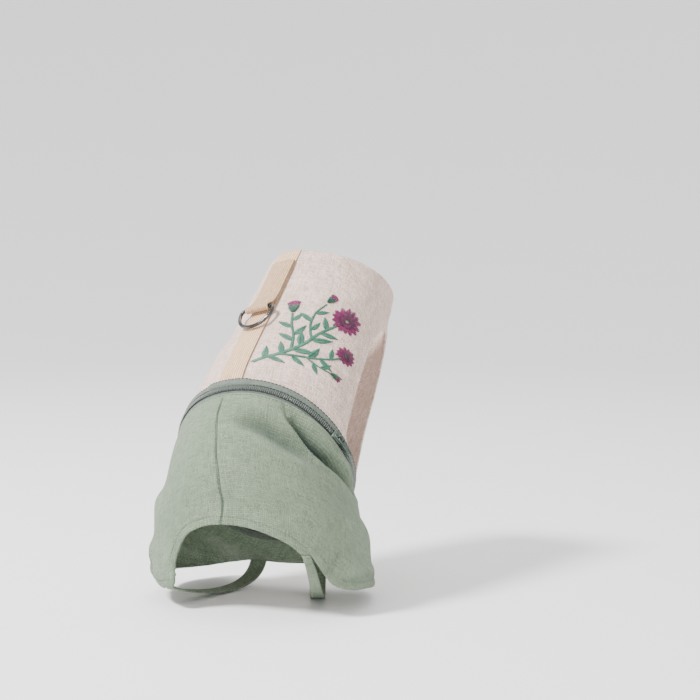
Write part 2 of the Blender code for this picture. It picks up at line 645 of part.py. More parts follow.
def trousers_shell(collection, finish):
    keys, starts = [], []
    for i, row in enumerate(TROUSERS_EDGE):
        starts.append(len(keys))
        keys += [i + k / row[3] for k in range(row[3])]
    keys = np.array(keys)
    edge = smooth_rows([(i, *row[:3]) for i, row in enumerate(TROUSERS_EDGE)], keys)
    angle_low, share_low, angle_high = edge.T
    bare = CHAIN_WIDTH / 2 + TAPE_BARE
    share_high = share_at(trousers_surface, angle_high, bare)
    share_clear = share_at(trousers_surface, angle_high, bare + TAPE_HIDDEN)
    share_deep = share_at(trousers_surface, angle_high, bare + TAPE_HIDDEN + FOLD_RUN)
    grid = []
    for r in range(TROUSERS_ROWS + 1):
        v = (r / TROUSERS_ROWS) ** ROW_CROWDING
        angle = angle_high + (angle_low - angle_high) * v * v
        share = share_high + (share_low - share_high) * v
        points = trousers_surface(share, angle)
        height = fold_height(points)
        inwards, outwards = ramp(share, share_clear, share_deep), ramp(share, share_high, share_clear)
        height *= np.where(height < 0, inwards, outwards)
        height += cuff_height(share, angle)
        grid.append(points + outward(trousers_surface, share, angle) * height[:, None])
    grid = np.array(grid)
    columns = grid.shape[1]

    mesh = bmesh.new()
    verts = [[mesh.verts.new(point) for point in row] for row in grid]
    for r in range(TROUSERS_ROWS):
        for c in range(columns):
            d = (c + 1) % columns
            mesh.faces.new((verts[r + 1][c], verts[r + 1][d], verts[r][d], verts[r][c]))
    hem = verts[-1]
    for rear_row, front_row in (RIGHT_STRIP, LEFT_STRIP):
        cells = TROUSERS_EDGE[rear_row][3]
        rear = [hem[starts[rear_row] + k] for k in range(cells + 1)]
        front = [hem[starts[front_row] + cells - k] for k in range(cells + 1)]
        here = slice(starts[rear_row], starts[rear_row] + cells + 1)
        share_under = np.minimum(share_low[here] + STRIP_RUN, 1)
        under = trousers_surface(share_under, angle_low[here] * STRIP_SPREAD)
        add_strip(mesh, rear, front, under)
    bmesh.ops.recalc_face_normals(mesh, faces=mesh.faces)
    if mesh.faces[0].normal.dot(mesh.faces[0].calc_center_median()) < 0:
        bmesh.ops.reverse_faces(mesh, faces=mesh.faces)
    made = bpy.data.meshes.new("trousers_shell")
    mesh.to_mesh(made)
    mesh.free()
    shell = add_object("trousers_shell", made, collection, finish)
    thicken(shell, TROUSERS_WALL, -1)


def add_strip(mesh, rear, front, under):
    """A strip of cloth that runs on from the back edge, under the seat and up to the belly edge."""
    lines = []
    u = STRIP_LOWEST
    for a, b, turn in zip(rear, front, under):
        near = Vector(turn)
        far = a.co.lerp(b.co, STRIP_LEAD)
        held = (1 - u) ** 3 * a.co.z + 3 * (1 - u) ** 2 * u * near.z + u**3 * b.co.z
        far.z = (-FLOOR_DEPTH - held) / (3 * (1 - u) * u**2)
        line = [a]
        for k in range(1, STRIP_ROWS):
            line.append(mesh.verts.new(bent(k / STRIP_ROWS, a.co, near, far, b.co)))
        lines.append(line + [b])
    for left, right in zip(lines, lines[1:]):
        for k in range(STRIP_ROWS):
            mesh.faces.new((left[k], left[k + 1], right[k + 1], right[k]))


def bent(u, start, near, far, end):
    """A point of a cubic curve."""
    return (1 - u) ** 3 * start + 3 * (1 - u) ** 2 * u * near + 3 * (1 - u) * u**2 * far + u**3 * end


def build():
    for obj in list(bpy.data.objects):
        bpy.data.objects.remove(obj)
    scene = bpy.context.scene
    collection = bpy.data.collections.new("pet_costume")
    cutters = bpy.data.collections.new("cutters")
    scene.collection.children.link(collection)
    scene.collection.children.link(cutters)
    finishes = {
        "linen": material("beige_linen", (0.62, 0.53, 0.49), 0.9),
        "sage": material("sage_linen", (0.33, 0.42, 0.33), 0.9),
        "webbing": material("tan_webbing", (0.66, 0.54, 0.40), 0.8),
        "loop": material("tan_webbing_doubled", (0.60, 0.47, 0.35), 0.8),
        "tape": material("zip_tape", (0.27, 0.33, 0.29), 0.85),
        "chain": material("zip_teeth", (0.16, 0.20, 0.18), 0.45),
        "steel": material("ring_steel", (0.55, 0.53, 0.50), 0.3, 1.0),
        "slider": material("painted_slider", (0.22, 0.32, 0.25), 0.4),
        "pull": material("pull_metal", (0.50, 0.51, 0.48), 0.35, 0.9),
    }
    vest_shell(collection, cutters, finishes["linen"])
    back_webbing(collection, finishes["webbing"])
    zip_tapes_and_chain(collection, finishes)
    ring_loop(collection, finishes["loop"])
    d_ring(collection, finishes["steel"])
    zip_slider(collection, cutters, finishes["slider"])
    zip_pull(collection, finishes["pull"])
    trousers_shell(collection, finishes["sage"])


build()
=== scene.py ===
# Looks of the pet costume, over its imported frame. Metres, +Z up; the wearer faces -Y.
# Angles go round the body in degrees: 0 down the middle of the back, -90 at the wearer's right.
import json
import math

import bpy
import numpy as np
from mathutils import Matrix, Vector


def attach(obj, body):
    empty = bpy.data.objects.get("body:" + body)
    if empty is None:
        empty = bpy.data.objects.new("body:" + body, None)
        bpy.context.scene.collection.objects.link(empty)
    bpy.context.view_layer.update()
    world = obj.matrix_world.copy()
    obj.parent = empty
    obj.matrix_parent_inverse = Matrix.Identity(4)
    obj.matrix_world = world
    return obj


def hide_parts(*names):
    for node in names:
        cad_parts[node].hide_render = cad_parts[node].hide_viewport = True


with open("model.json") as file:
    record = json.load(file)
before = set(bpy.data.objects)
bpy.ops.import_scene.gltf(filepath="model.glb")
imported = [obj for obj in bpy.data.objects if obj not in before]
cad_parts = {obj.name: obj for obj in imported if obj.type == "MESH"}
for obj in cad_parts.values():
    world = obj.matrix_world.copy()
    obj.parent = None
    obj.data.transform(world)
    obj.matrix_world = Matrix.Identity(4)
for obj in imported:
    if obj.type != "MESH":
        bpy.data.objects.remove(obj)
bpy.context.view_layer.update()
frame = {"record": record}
bodyName, ringBody, pullBody = "costume", "d_ring", "zip_pull"
rng = np.random.default_rng(7)

# The cloth's surface, from the same sizes as the CAD source
waist = {"half": 0.0615, "back": 0.0625, "belly": 0.0585, "lean": 61.5, "turn": -11.0}
vestReach = 0.155
seat = {"half": 0.074, "depth": 0.062, "drop": 0.080, "knee": 0.010, "floor": 0.088}
wall = {"cloth": 0.0014, "webbing": 0.0013, "tape": 0.0008, "gap": 0.0003}
chain = {"width": 0.0032, "wall": 0.0018, "shown": 0.0042, "hidden": 0.0015, "vestGap": 0.0012,
         "room": 0.0008, "bare": 0.0024, "foldRun": 0.004, "climb": 0.006}
strap = {"width": 0.020, "angle": 1.0}
ring = {"wire": 0.0026, "inner": 0.0250, "reach": 0.0165, "corner": 0.0030, "share": 0.665, "tilt": 4.0,
        "loop": 0.040, "slope": 0.005}

# share; forward, up, side; lean, turn; half width, back, belly; roundness
vestSections = (
    (0.00, 0.000, 0.000, 0.000, 61.5, -11.0, 1.00, 1.00, 1.00, 2.10),
    (0.25, 0.121, 0.135, -0.013, 53.5, -14.0, 0.98, 0.94, 0.98, 2.10),
    (0.50, 0.266, 0.298, -0.030, 49.0, -16.0, 0.935, 0.87, 0.95, 2.10),
    (0.75, 0.439, 0.489, -0.050, 44.0, -17.5, 0.855, 0.80, 0.89, 2.05),
    (1.00, 0.665, 0.748, -0.073, 34.0, -19.0, 0.73, 0.74, 0.79, 2.00),
)
# share; back, down; back lean, front lean, turn; half width, back, belly; roundness
seatSections = (
    (0.18, 0.02, 0.16, 30.0, 58.0, -7.0, 0.865, 1.00, 0.94, 2.20),
    (0.36, 0.04, 0.32, 20.0, 52.0, -3.0, 0.915, 0.975, 0.90, 2.28),
    (0.55, 0.055, 0.47, 18.0, 42.0, 0.0, 0.99, 0.94, 0.87, 2.33),
    (0.73, 0.04, 0.665, 12.0, 34.0, 0.0, 0.995, 0.955, 0.87, 2.37),
    (0.91, -0.02, 0.905, 0.0, 22.0, 0.0, 0.973, 1.04, 0.80, 2.40),
    (1.00, -0.04, 1.00, -1.0, 16.0, 0.0, 0.96, 1.03, 0.74, 2.40),
)
# angle at the edge; share of the drop; angle at the waist; cells
seatEdge = (
    (-180.0, 0.52, -180.0, 2), (-170.0, 0.53, -170.0, 2), (-161.0, 0.58, -161.0, 3),
    (-145.0, 0.74, -146.0, 4), (-118.0, 0.93, -122.0, 6), (-85.0, 0.97, -90.0, 5),
    (-62.0, 0.92, -72.0, 4), (-50.0, 0.83, -58.0, 3), (-43.5, 0.775, -48.0, 2),
    (-38.0, 0.770, -41.0, 3), (-28.0, 0.715, -30.0, 4), (-12.0, 0.657, -13.0, 3),
    (0.0, 0.644, 0.0, 3), (12.0, 0.675, 13.0, 3), (22.0, 0.735, 24.0, 3),
    (27.5, 0.830, 33.0, 3), (29.0, 0.925, 41.0, 2), (37.0, 0.968, 48.0, 3),
    (50.0, 1.00, 58.0, 4), (85.0, 0.98, 90.0, 6), (118.0, 0.93, 122.0, 4),
    (145.0, 0.74, 146.0, 3), (161.0, 0.58, 161.0, 2), (170.0, 0.53, 170.0, 2),
    (180.0, 0.52, 180.0, 0),
)
strips = {"rows": ((8, 1), (16, 22)), "run": 0.14, "spread": 1.25, "lead": 0.9, "lowest": 0.6}
# angle and share at start, middle and end; height, minus inwards; half width, of the seat's depth
seatFolds = (
    (-37.0, 0.030, -58.0, 0.072, -97.0, 0.150, -0.062, 0.070),
    (-46.0, 0.030, -66.0, 0.052, -99.0, 0.090, 0.050, 0.075),
    (-46.0, 0.105, -66.0, 0.122, -93.0, 0.165, 0.030, 0.060),
    (-6.0, 0.100, -30.0, 0.112, -62.0, 0.165, -0.026, 0.110),
    (42.0, 0.050, 62.0, 0.080, 96.0, 0.160, -0.040, 0.080),
    (70.0, 0.600, 84.0, 0.760, 88.0, 0.960, -0.030, 0.080),
    (-70.0, 0.640, -82.0, 0.780, -88.0, 0.960, -0.020, 0.080),
    (118.0, 0.300, 124.0, 0.500, 120.0, 0.800, -0.030, 0.090),
    (-118.0, 0.300, -124.0, 0.500, -120.0, 0.800, -0.030, 0.090),
)
# sharp creases: angle and share along each; then depth, widths of the steep and of the gentle side,
# overhang of the lip and mean width of the floor
creases = (
    (((-39.0, 0.062), (-43.0, 0.076), (-49.5, 0.100), (-57.0, 0.130), (-65.0, 0.160), (-73.0, 0.183),
      (-84.0, 0.198), (-96.0, 0.20)), 0.0100, 0.0011, 0.0036, 0.0002, 0.0034),
    (((-34.5, 0.012), (-36.0, 0.022), (-37.4, 0.040), (-38.8, 0.060)), 0.0014, 0.0007, 0.0016, 0.0, 0.0),
    (((-4.0, 0.084), (-14.0, 0.100), (-26.0, 0.115), (-38.0, 0.143), (-50.0, 0.170), (-62.0, 0.215)),
     0.0058, 0.0040, 0.0080, 0.0, 0.0),
    (((66.0, 0.800), (62.0, 0.850), (62.5, 0.900), (60.0, 0.950)), 0.0040, 0.0010, 0.0026, 0.0012, 0.0008),
    (((-44.0, 0.880), (-56.0, 0.820), (-66.0, 0.740)), 0.0010, 0.0022, 0.0030, 0.0, 0.0),
)
# angle and share round the left armhole, as a closed curve
armholeEdge = (
    (87.0, 0.11), (87.0, 0.27), (88.0, 0.41), (90.0, 0.56), (94.0, 0.69), (102.0, 0.79),
    (115.0, 0.84), (128.0, 0.82), (138.0, 0.72), (143.0, 0.56), (142.0, 0.38), (135.0, 0.21),
    (121.0, 0.11), (104.0, 0.075), (92.0, 0.075),
)


# a smooth curve through a table's rows, read at keys of its first column
def smoothRows(rows, keys):
    table = np.array(rows, float)
    x, y = table[:, 0], table[:, 1:]
    slope = np.gradient(y, x, axis=0)
    i = np.clip(np.searchsorted(x, keys, side="right") - 1, 0, len(x) - 2)
    gap = (x[i + 1] - x[i])[:, None]
    u = (keys - x[i])[:, None] / gap
    start = y[i] * (2 * u**3 - 3 * u**2 + 1) + slope[i] * gap * (u**3 - 2 * u**2 + u)
    return start + y[i + 1] * (3 * u**2 - 2 * u**3) + slope[i + 1] * gap * (u**3 - u**2)


# 0 below low, 1 above high and smooth between
def ramp(value, low, high):
    u = np.clip((value - low) / (high - low), 0, 1)
    return u * u * (3 - 2 * u)


def bell(value, middle, halfWidth):
    return np.exp(-(((value - middle) / halfWidth) ** 2))


def unit(vectors):
    return vectors / np.linalg.norm(vectors, axis=-1, keepdims=True)


# points round a body's section: a rounded box, leaning and turned, with the front's lean easing in
def roundSection(centre, backLean, frontLean, turn, half, back, belly, roundness, angle):
    a, turn = np.radians(angle), np.radians(turn)
    lean = np.radians(backLean + (frontLean - backLean) * (1 - np.cos(a)) / 2)
    zero = np.zeros_like(lean)
    side = np.stack([zero + 1, zero, zero], 1)
    rear = np.stack([zero, np.cos(lean), np.sin(lean)], 1)
    across = np.cos(turn)[:, None] * side + np.sin(turn)[:, None] * rear
    spineward = np.cos(turn)[:, None] * rear - np.sin(turn)[:, None] * side
    power = 2 / roundness
    s, c = np.sin(a), np.cos(a)
    width = half * np.sign(s) * np.abs(s) ** power
    depth = np.where(c >= 0, back, belly) * np.sign(c) * np.abs(c) ** power
    return centre + width[:, None] * across + depth[:, None] * spineward


def vestSurface(share, angle):
    forward, up, side, lean, turn, half, back, belly, roundness = smoothRows(vestSections, share).T
    centre = np.stack([side * waist["half"], -forward * vestReach, up * vestReach], 1)
    return roundSection(centre, lean, lean, turn, half * waist["half"], back * waist["back"],
                        belly * waist["belly"], roundness, angle)


def seatRows():
    rows = [(0.0, 0.0, 0.0, waist["lean"], waist["lean"], waist["turn"], waist["half"], waist["back"],
             waist["belly"], 2.10)]
    for share, back, down, lean, frontLean, turn, half, depth, belly, roundness in seatSections:
        rows.append((share, back * seat["drop"], -down * seat["drop"], lean, frontLean, turn,
                     half * seat["half"], depth * seat["depth"], belly * seat["depth"], roundness))
    return rows


def seatSurface(share, angle):
    back, up, lean, frontLean, turn, half, rear, belly, roundness = smoothRows(seatRows(), share).T
    centre = np.stack([np.zeros_like(back), back, up], 1)
    points = roundSection(centre, lean, frontLean, turn, half, rear, belly, roundness, angle)
    points[:, 1] -= seat["knee"] * bell(np.abs(angle), 138, 24) * ramp(share, 0.3, 0.75)
    return points


# the normal of a body's surface, pointing away from the wearer
def outward(surface, share, angle):
    along = surface(share + 0.002, angle) - surface(share - 0.002, angle)
    roundIt = surface(share, angle + 0.5) - surface(share, angle - 0.5)
    return unit(np.cross(along, roundIt) * (-1 if surface is seatSurface else 1))


# points at a height over the surface, for shares and angles of any shape
def lifted(surface, share, angle, lift):
    share, angle = np.broadcast_arrays(np.asarray(share, float), np.asarray(angle, float))
    shape = share.shape
    share, angle = share.ravel(), angle.ravel()
    lift = np.broadcast_to(lift, shape).ravel()
    points = surface(share, angle) + outward(surface, share, angle) * lift[:, None]
    return points.reshape(shape + (3,))


# share along each angle's line that lies a distance from the waist
def shareAt(surface, angle, distance):
    steps = np.linspace(0, 0.3, 241)
    shares, angles = np.meshgrid(steps, angle, indexing="ij")
    points = surface(shares.ravel(), angles.ravel()).reshape(shares.shape + (3,))
    run = np.linalg.norm(np.diff(points, axis=0), axis=2).cumsum(axis=0)
    run = np.vstack([np.zeros((1, len(angle))), run])
    return np.array([np.interp(distance, run[:, i], steps) for i in range(len(angle))])


# distance of each point to the nearest of a line's points
def gapTo(points, line):
    flat = points.reshape(-1, 3)
    best = np.full(len(flat), 1.0)
    for start in range(0, len(line), 64):
        gap = np.linalg.norm(flat[:, None] - line[None, start:start + 64], axis=2)
        best = np.minimum(best, gap.min(axis=1))
    return best.reshape(points.shape[:-1])


# A smooth sum of a few sine waves. Rows: waves along x, waves along y, phase, height.
def wave(x, y, table):
    total = np.zeros(np.broadcast(x, y).shape)
    for alongX, alongY, phase, height in table:
        total = total + height * np.sin(alongX * x + alongY * y + phase)
    return total


# Node helpers
def feed(tree, socket, value):
    if isinstance(value, bpy.types.NodeSocket):
        tree.links.new(value, socket)
    else:
        socket.default_value = value


def sums(tree, operation, *values):
    node = tree.nodes.new("ShaderNodeMath")
    node.operation = operation
    for i, value in enumerate(values):
        feed(tree, node.inputs[i], value)
    return node.outputs[0]


def vector(tree, x, y, z=0.0):
    node = tree.nodes.new("ShaderNodeCombineXYZ")
    for i, value in enumerate((x, y, z)):
        feed(tree, node.inputs[i], value)
    return node.outputs[0]


def noise(tree, place, scale, detail=2.0):
    node = tree.nodes.new("ShaderNodeTexNoise")
    feed(tree, node.inputs["Vector"], place)
    feed(tree, node.inputs["Scale"], scale)
    node.inputs["Detail"].default_value = detail
    return node.outputs["Fac"]


def spread(tree, value, low, high, outLow=0.0, outHigh=1.0):
    node = tree.nodes.new("ShaderNodeMapRange")
    names = ("Value", "From Min", "From Max", "To Min", "To Max")
    for name, number in zip(names, (value, low, high, outLow, outHigh)):
        feed(tree, node.inputs[name], number)
    return node.outputs["Result"]


def mixed(tree, amount, first, second):
    node = tree.nodes.new("ShaderNodeMix")
    node.data_type = "RGBA"
    feed(tree, node.inputs[0], amount)
    for socket, colour in ((node.inputs[6], first), (node.inputs[7], second)):
        feed(tree, socket, colour if isinstance(colour, bpy.types.NodeSocket) else (*colour, 1))
    return node.outputs[2]


# a node group with named sockets: (name, kind, default) in, (name, kind) out
def newGroup(name, inputs, outputs):
    tree = bpy.data.node_groups.new(name, "ShaderNodeTree")
    for label, kind, default in inputs:
        made = tree.interface.new_socket(label, in_out="INPUT", socket_type=kind)
        if default is not None:
            made.default_value = default
    for label, kind in outputs:
        tree.interface.new_socket(label, in_out="OUTPUT", socket_type=kind)
    source, sink = tree.nodes.new("NodeGroupInput"), tree.nodes.new("NodeGroupOutput")
    return tree, source.outputs, sink.inputs


# Threads over and under each other. Across and Along count threads; Slub makes them uneven.
def plainWeave():
    number = "NodeSocketFloat"
    tree, given, result = newGroup(
        "plainWeave", (("Across", number, 0.0), ("Along", number, 0.0), ("Slub", number, 0.2)),
        (("Height", number), ("Warp", number), ("Tone", number)))
    place = vector(tree, given["Across"], given["Along"])
    drift = sums(tree, "MULTIPLY", sums(tree, "SUBTRACT", noise(tree, place, 0.31), 0.5), given["Slub"])
    sway = sums(tree, "MULTIPLY", sums(tree, "SUBTRACT", noise(tree, place, 0.23, 3.0), 0.5), given["Slub"])
    u = sums(tree, "ADD", given["Across"], sums(tree, "MULTIPLY", drift, 4.0))
    v = sums(tree, "ADD", given["Along"], sums(tree, "MULTIPLY", sway, 4.0))
    heights, tones = [], []
    for across, along, side in ((u, v, 1.0), (v, u, -1.0)):
        thread = sums(tree, "FLOOR", across)
        crown = sums(tree, "SINE", sums(tree, "MULTIPLY", sums(tree, "FRACT", across), math.pi))
        over = sums(tree, "SINE", sums(tree, "MULTIPLY", sums(tree, "ADD", along, thread), math.pi))
        heights.append(sums(tree, "ADD", crown, sums(tree, "MULTIPLY", over, 0.6 * side)))
        streak = vector(tree, sums(tree, "MULTIPLY", thread, 7.3), sums(tree, "MULTIPLY", along, 0.14), side)
        tones.append(noise(tree, streak, 1.0, 3.0))
    warp = sums(tree, "GREATER_THAN", heights[0], heights[1])
    feed(tree, result["Height"], sums(tree, "MAXIMUM", heights[0], heights[1]))
    feed(tree, result["Warp"], warp)
    gap = sums(tree, "SUBTRACT", tones[0], tones[1])
    feed(tree, result["Tone"], sums(tree, "ADD", tones[1], sums(tree, "MULTIPLY", gap, warp)))
    return tree


# fine loose fibres: Shade darkens and lightens, Nap is for the bump
def fibreFuzz():
    tree, given, result = newGroup(
        "fibreFuzz", (("Vector", "NodeSocketVector", None), ("Scale", "NodeSocketFloat", 900.0)),
        (("Shade", "NodeSocketFloat"), ("Nap", "NodeSocketFloat")))
    feed(tree, result["Shade"], noise(tree, given["Vector"], given["Scale"], 4.0))
    feed(tree, result["Nap"], noise(tree, given["Vector"], sums(tree, "MULTIPLY", given["Scale"], 2.3), 2.0))
    return tree


weaveGroup, fuzzGroup = plainWeave(), fibreFuzz()


def groupNode(tree, group, **inputs):
    node = tree.nodes.new("ShaderNodeGroup")
    node.node_tree = group
    for name, value in inputs.items():
        feed(tree, node.inputs[name], value)
    return node.outputs


def newMaterial(name, roughness, metallic=0.0, sheen=0.0, coat=0.0):
    made = bpy.data.materials.new(name)
    made.use_nodes = True
    tree = made.node_tree
    shader = tree.nodes["Principled BSDF"]
    shader.inputs["Roughness"].default_value = roughness
    shader.inputs["Metallic"].default_value = metallic
    shader.inputs["Sheen Weight"].default_value = sheen
    shader.inputs["Coat Weight"].default_value = coat
    return made, tree, shader


def bumped(tree, shader, height, distance, strength=1.0):
    node = tree.nodes.new("ShaderNodeBump")
    feed(tree, node.inputs["Height"], height)
    node.inputs["Distance"].default_value = distance
    node.inputs["Strength"].default_value = strength
    feed(tree, shader.inputs["Normal"], node.outputs["Normal"])


def uvParts(tree):
    node = tree.nodes.new("ShaderNodeUVMap")
    node.uv_map = "cloth"
    parts = tree.nodes.new("ShaderNodeSeparateXYZ")
    feed(tree, parts.inputs[0], node.outputs[0])
    return parts.outputs[0], parts.outputs[1]


# Plain-woven cloth. Its UVs are in centimetres along and across the threads.
def wovenCloth(name, look):
    made, tree, shader = newMaterial(name, look["roughness"], sheen=look["sheen"])
    u, v = uvParts(tree)
    weave = groupNode(tree, weaveGroup, Across=sums(tree, "MULTIPLY", u, look["threads"]),
                      Along=sums(tree, "MULTIPLY", v, look["threads"] * look["squash"]), Slub=look["slub"])
    place = tree.nodes.new("ShaderNodeTexCoord").outputs["Object"]
    fuzz = groupNode(tree, fuzzGroup, Vector=place, Scale=look["fuzz"])
    patches = noise(tree, place, look["patches"], 3.0)
    tone = spread(tree, weave["Tone"], 0.34, 0.66)
    colour = mixed(tree, tone, look["dark"], look["light"])
    flecks = spread(tree, fuzz["Shade"], 0.56, 0.72, 0.0, look["fleck"])
    colour = mixed(tree, flecks, colour, look["fleckColour"])
    colour = mixed(tree, spread(tree, patches, 0.35, 0.65, 0.0, look["mottle"]), colour, look["dark"])
    deep = spread(tree, weave["Height"], 0.15, 1.0, look["gaps"], 0.0)
    colour = mixed(tree, deep, colour, look["shadow"])
    creaseShade = tree.nodes.new("ShaderNodeAttribute")
    creaseShade.attribute_name = "creaseShade"  # painted shade: 0 on flat cloth and 1 deep in a fold
    # painted shade in the folds: the cloth darkens toward its crease shade colour, by the strength under
    # "creases"
    creaseShadeAmount = sums(tree, "MULTIPLY", creaseShade.outputs["Fac"], look["creases"])
    colour = mixed(tree, creaseShadeAmount, colour, look["creaseShadeColour"])
    feed(tree, shader.inputs["Base Color"], colour)
    height = sums(tree, "ADD", weave["Height"], sums(tree, "MULTIPLY", fuzz["Nap"], look["nap"]))
    bumped(tree, shader, height, look["relief"])
    return made


# threads to the centimetre; relief in metres; fuzz and patches are noise scales; the rest are shares
linenLook = {
    "threads": 10.0, "squash": 0.92, "slub": 0.34, "relief": 0.00022, "nap": 0.5, "gaps": 0.6,
    "roughness": 0.88, "sheen": 0.12, "fuzz": 1500.0, "patches": 55.0, "fleck": 0.6, "mottle": 0.25,
    "creases": 0.0, "light": (0.97, 0.775, 0.680), "dark": (0.50, 0.330, 0.258),
    "fleckColour": (0.92, 0.82, 0.76), "shadow": (0.30, 0.20, 0.165), "creaseShadeColour": (0.30, 0.20, 0.165)}
# the last two entries of each look paint shade into the folds: how strongly, and the shade's colour
sageLook = {
    "threads": 8.5, "squash": 0.88, "slub": 0.26, "relief": 0.00026, "nap": 0.4, "gaps": 0.65,
    "roughness": 0.86, "sheen": 0.10, "fuzz": 1400.0, "patches": 40.0, "fleck": 0.30, "mottle": 0.22,
    "creases": 0.95, "light": (0.235, 0.295, 0.200), "dark": (0.120, 0.165, 0.105),
    "fleckColour": (0.38, 0.45, 0.33), "shadow": (0.06, 0.09, 0.06), "creaseShadeColour": (0.024, 0.044, 0.036)}
tapeLook = {
    "threads": 22.0, "squash": 0.8, "slub": 0.05, "relief": 0.00010, "nap": 0.3, "gaps": 0.5,
    "roughness": 0.8, "sheen": 0.15, "fuzz": 1800.0, "patches": 60.0, "fleck": 0.2, "mottle": 0.15,
    "creases": 0.0, "light": (0.150, 0.180, 0.150), "dark": (0.070, 0.090, 0.073),
    "fleckColour": (0.30, 0.35, 0.30), "shadow": (0.08, 0.11, 0.09), "creaseShadeColour": (0.08, 0.11, 0.09)}


# Webbing: fine ribs along it, each a row of short stitches of yarn. UVs in centimetres.
def ribbedWebbing(name, look):
    made, tree, shader = newMaterial(name, look["roughness"], sheen=look["sheen"])
    u, v = uvParts(tree)
    rib = sums(tree, "MULTIPLY", u, look["ribs"])
    crown = sums(tree, "SINE", sums(tree, "MULTIPLY", sums(tree, "FRACT", rib), math.pi))
    picks = sums(tree, "MULTIPLY", v, look["picks"])
    step = sums(tree, "MULTIPLY", sums(tree, "MODULO", sums(tree, "FLOOR", rib), 2.0), 0.5)
    pick = sums(tree, "FRACT", sums(tree, "ADD", picks, step))
    loop = sums(tree, "SINE", sums(tree, "MULTIPLY", pick, math.pi))
    height = sums(tree, "MULTIPLY", crown, sums(tree, "ADD", 0.55, sums(tree, "MULTIPLY", loop, 0.45)))
    place = tree.nodes.new("ShaderNodeTexCoord").outputs["Object"]
    fuzz = groupNode(tree, fuzzGroup, Vector=place, Scale=1700.0)
    yarn = noise(tree, vector(tree, sums(tree, "FLOOR", rib), sums(tree, "MULTIPLY", v, 0.7)), 3.1)
    colour = mixed(tree, spread(tree, yarn, 0.3, 0.7), look["dark"], look["light"])
    colour = mixed(tree, spread(tree, height, 0.0, 0.75, look["gaps"], 0.0), colour, look["shadow"])
    colour = mixed(tree, spread(tree, fuzz["Shade"], 0.5, 0.75, 0.0, 0.25), colour, look["light"])
    feed(tree, shader.inputs["Base Color"], colour)
    bumped(tree, shader, sums(tree, "ADD", height, sums(tree, "MULTIPLY", fuzz["Nap"], 0.2)), look["relief"])
    return made


webbingLook = {"ribs": 5.5, "picks": 6.0, "relief": 0.00050, "gaps": 0.9, "roughness": 0.78, "sheen": 0.08,
               "light": (0.94, 0.640, 0.400), "dark": (0.76, 0.480, 0.275), "shadow": (0.30, 0.185, 0.10)}
# painted shade: the loop's webbing is a darker copy of the back webbing
shadedLoopLook = dict(webbingLook, light=(0.66, 0.430, 0.255), dark=(0.50, 0.310, 0.180))


# twisted thread: fine diagonal plies over a slow change of tone
def threadMaterial(name, light, dark, roughness=0.5, sheen=0.3):
    made, tree, shader = newMaterial(name, roughness, sheen=sheen)
    place = tree.nodes.new("ShaderNodeTexCoord").outputs["Object"]
    slow, fine = noise(tree, place, 260.0, 2.0), noise(tree, place, 2600.0, 3.0)
    tone = sums(tree, "ADD", sums(tree, "MULTIPLY", slow, 0.6), sums(tree, "MULTIPLY", fine, 0.4))
    feed(tree, shader.inputs["Base Color"], mixed(tree, spread(tree, tone, 0.36, 0.64), dark, light))
    bumped(tree, shader, fine, 0.00008)
    return made


# bare or painted metal with fine scratches, dull dark patches and rubbed edges; on the bare steel the dark
# patches are also painted reflections
def plainMetal(name, look):
    made, tree, shader = newMaterial(name, look["roughness"], look["metallic"], coat=look["coat"])
    place = tree.nodes.new("ShaderNodeTexCoord").outputs["Object"]
    grimeAndReflection = noise(tree, place, look["grimeAndReflection"], 4.0)
    scratch = noise(tree, vector(tree, noise(tree, place, 90.0), noise(tree, place, 1500.0, 3.0)), 9.0, 2.0)
    # dark patches: dull grime, and on the ring's steel painted reflections
    colour = mixed(tree, spread(tree, grimeAndReflection, 0.38, 0.62, 0.0, 0.7), look["light"], look["dark"])
    geometry = tree.nodes.new("ShaderNodeNewGeometry").outputs["Pointiness"]
    colour = mixed(tree, spread(tree, geometry, 0.53, 0.60, 0.0, look["rub"]), colour, look["bare"])
    feed(tree, shader.inputs["Base Color"], colour)
    low, high = look["roughness"] - 0.08, look["roughness"] + 0.16
    uneven = sums(tree, "ADD", grimeAndReflection, scratch)
    feed(tree, shader.inputs["Roughness"], spread(tree, uneven, 0.75, 1.25, low, high))
    bumped(tree, shader, scratch, 0.00003)
    return made


# painted reflections: the steel's colours are far darker than steel, and its dark patches stand for the dark
# things it mirrors
steelLook = {"roughness": 0.15, "metallic": 1.0, "coat": 0.0, "grimeAndReflection": 170.0, "rub": 0.4,
             "light": (0.155, 0.150, 0.145), "dark": (0.004, 0.004, 0.004), "bare": (0.80, 0.79, 0.77)}
paintLook = {"roughness": 0.42, "metallic": 0.0, "coat": 0.25, "grimeAndReflection": 420.0, "rub": 0.7,
             "light": (0.050, 0.088, 0.062), "dark": (0.018, 0.034, 0.024), "bare": (0.55, 0.58, 0.53)}
pullLook = {"roughness": 0.34, "metallic": 0.85, "coat": 0.0, "grimeAndReflection": 420.0, "rub": 0.6,
            "light": (0.10, 0.135, 0.110), "dark": (0.030, 0.042, 0.034), "bare": (0.75, 0.76, 0.72)}
toothLook = {"roughness": 0.45, "metallic": 0.0, "coat": 0.15, "grimeAndReflection": 900.0, "rub": 0.5,
             "light": (0.165, 0.185, 0.170), "dark": (0.085, 0.100, 0.090), "bare": (0.34, 0.38, 0.35)}

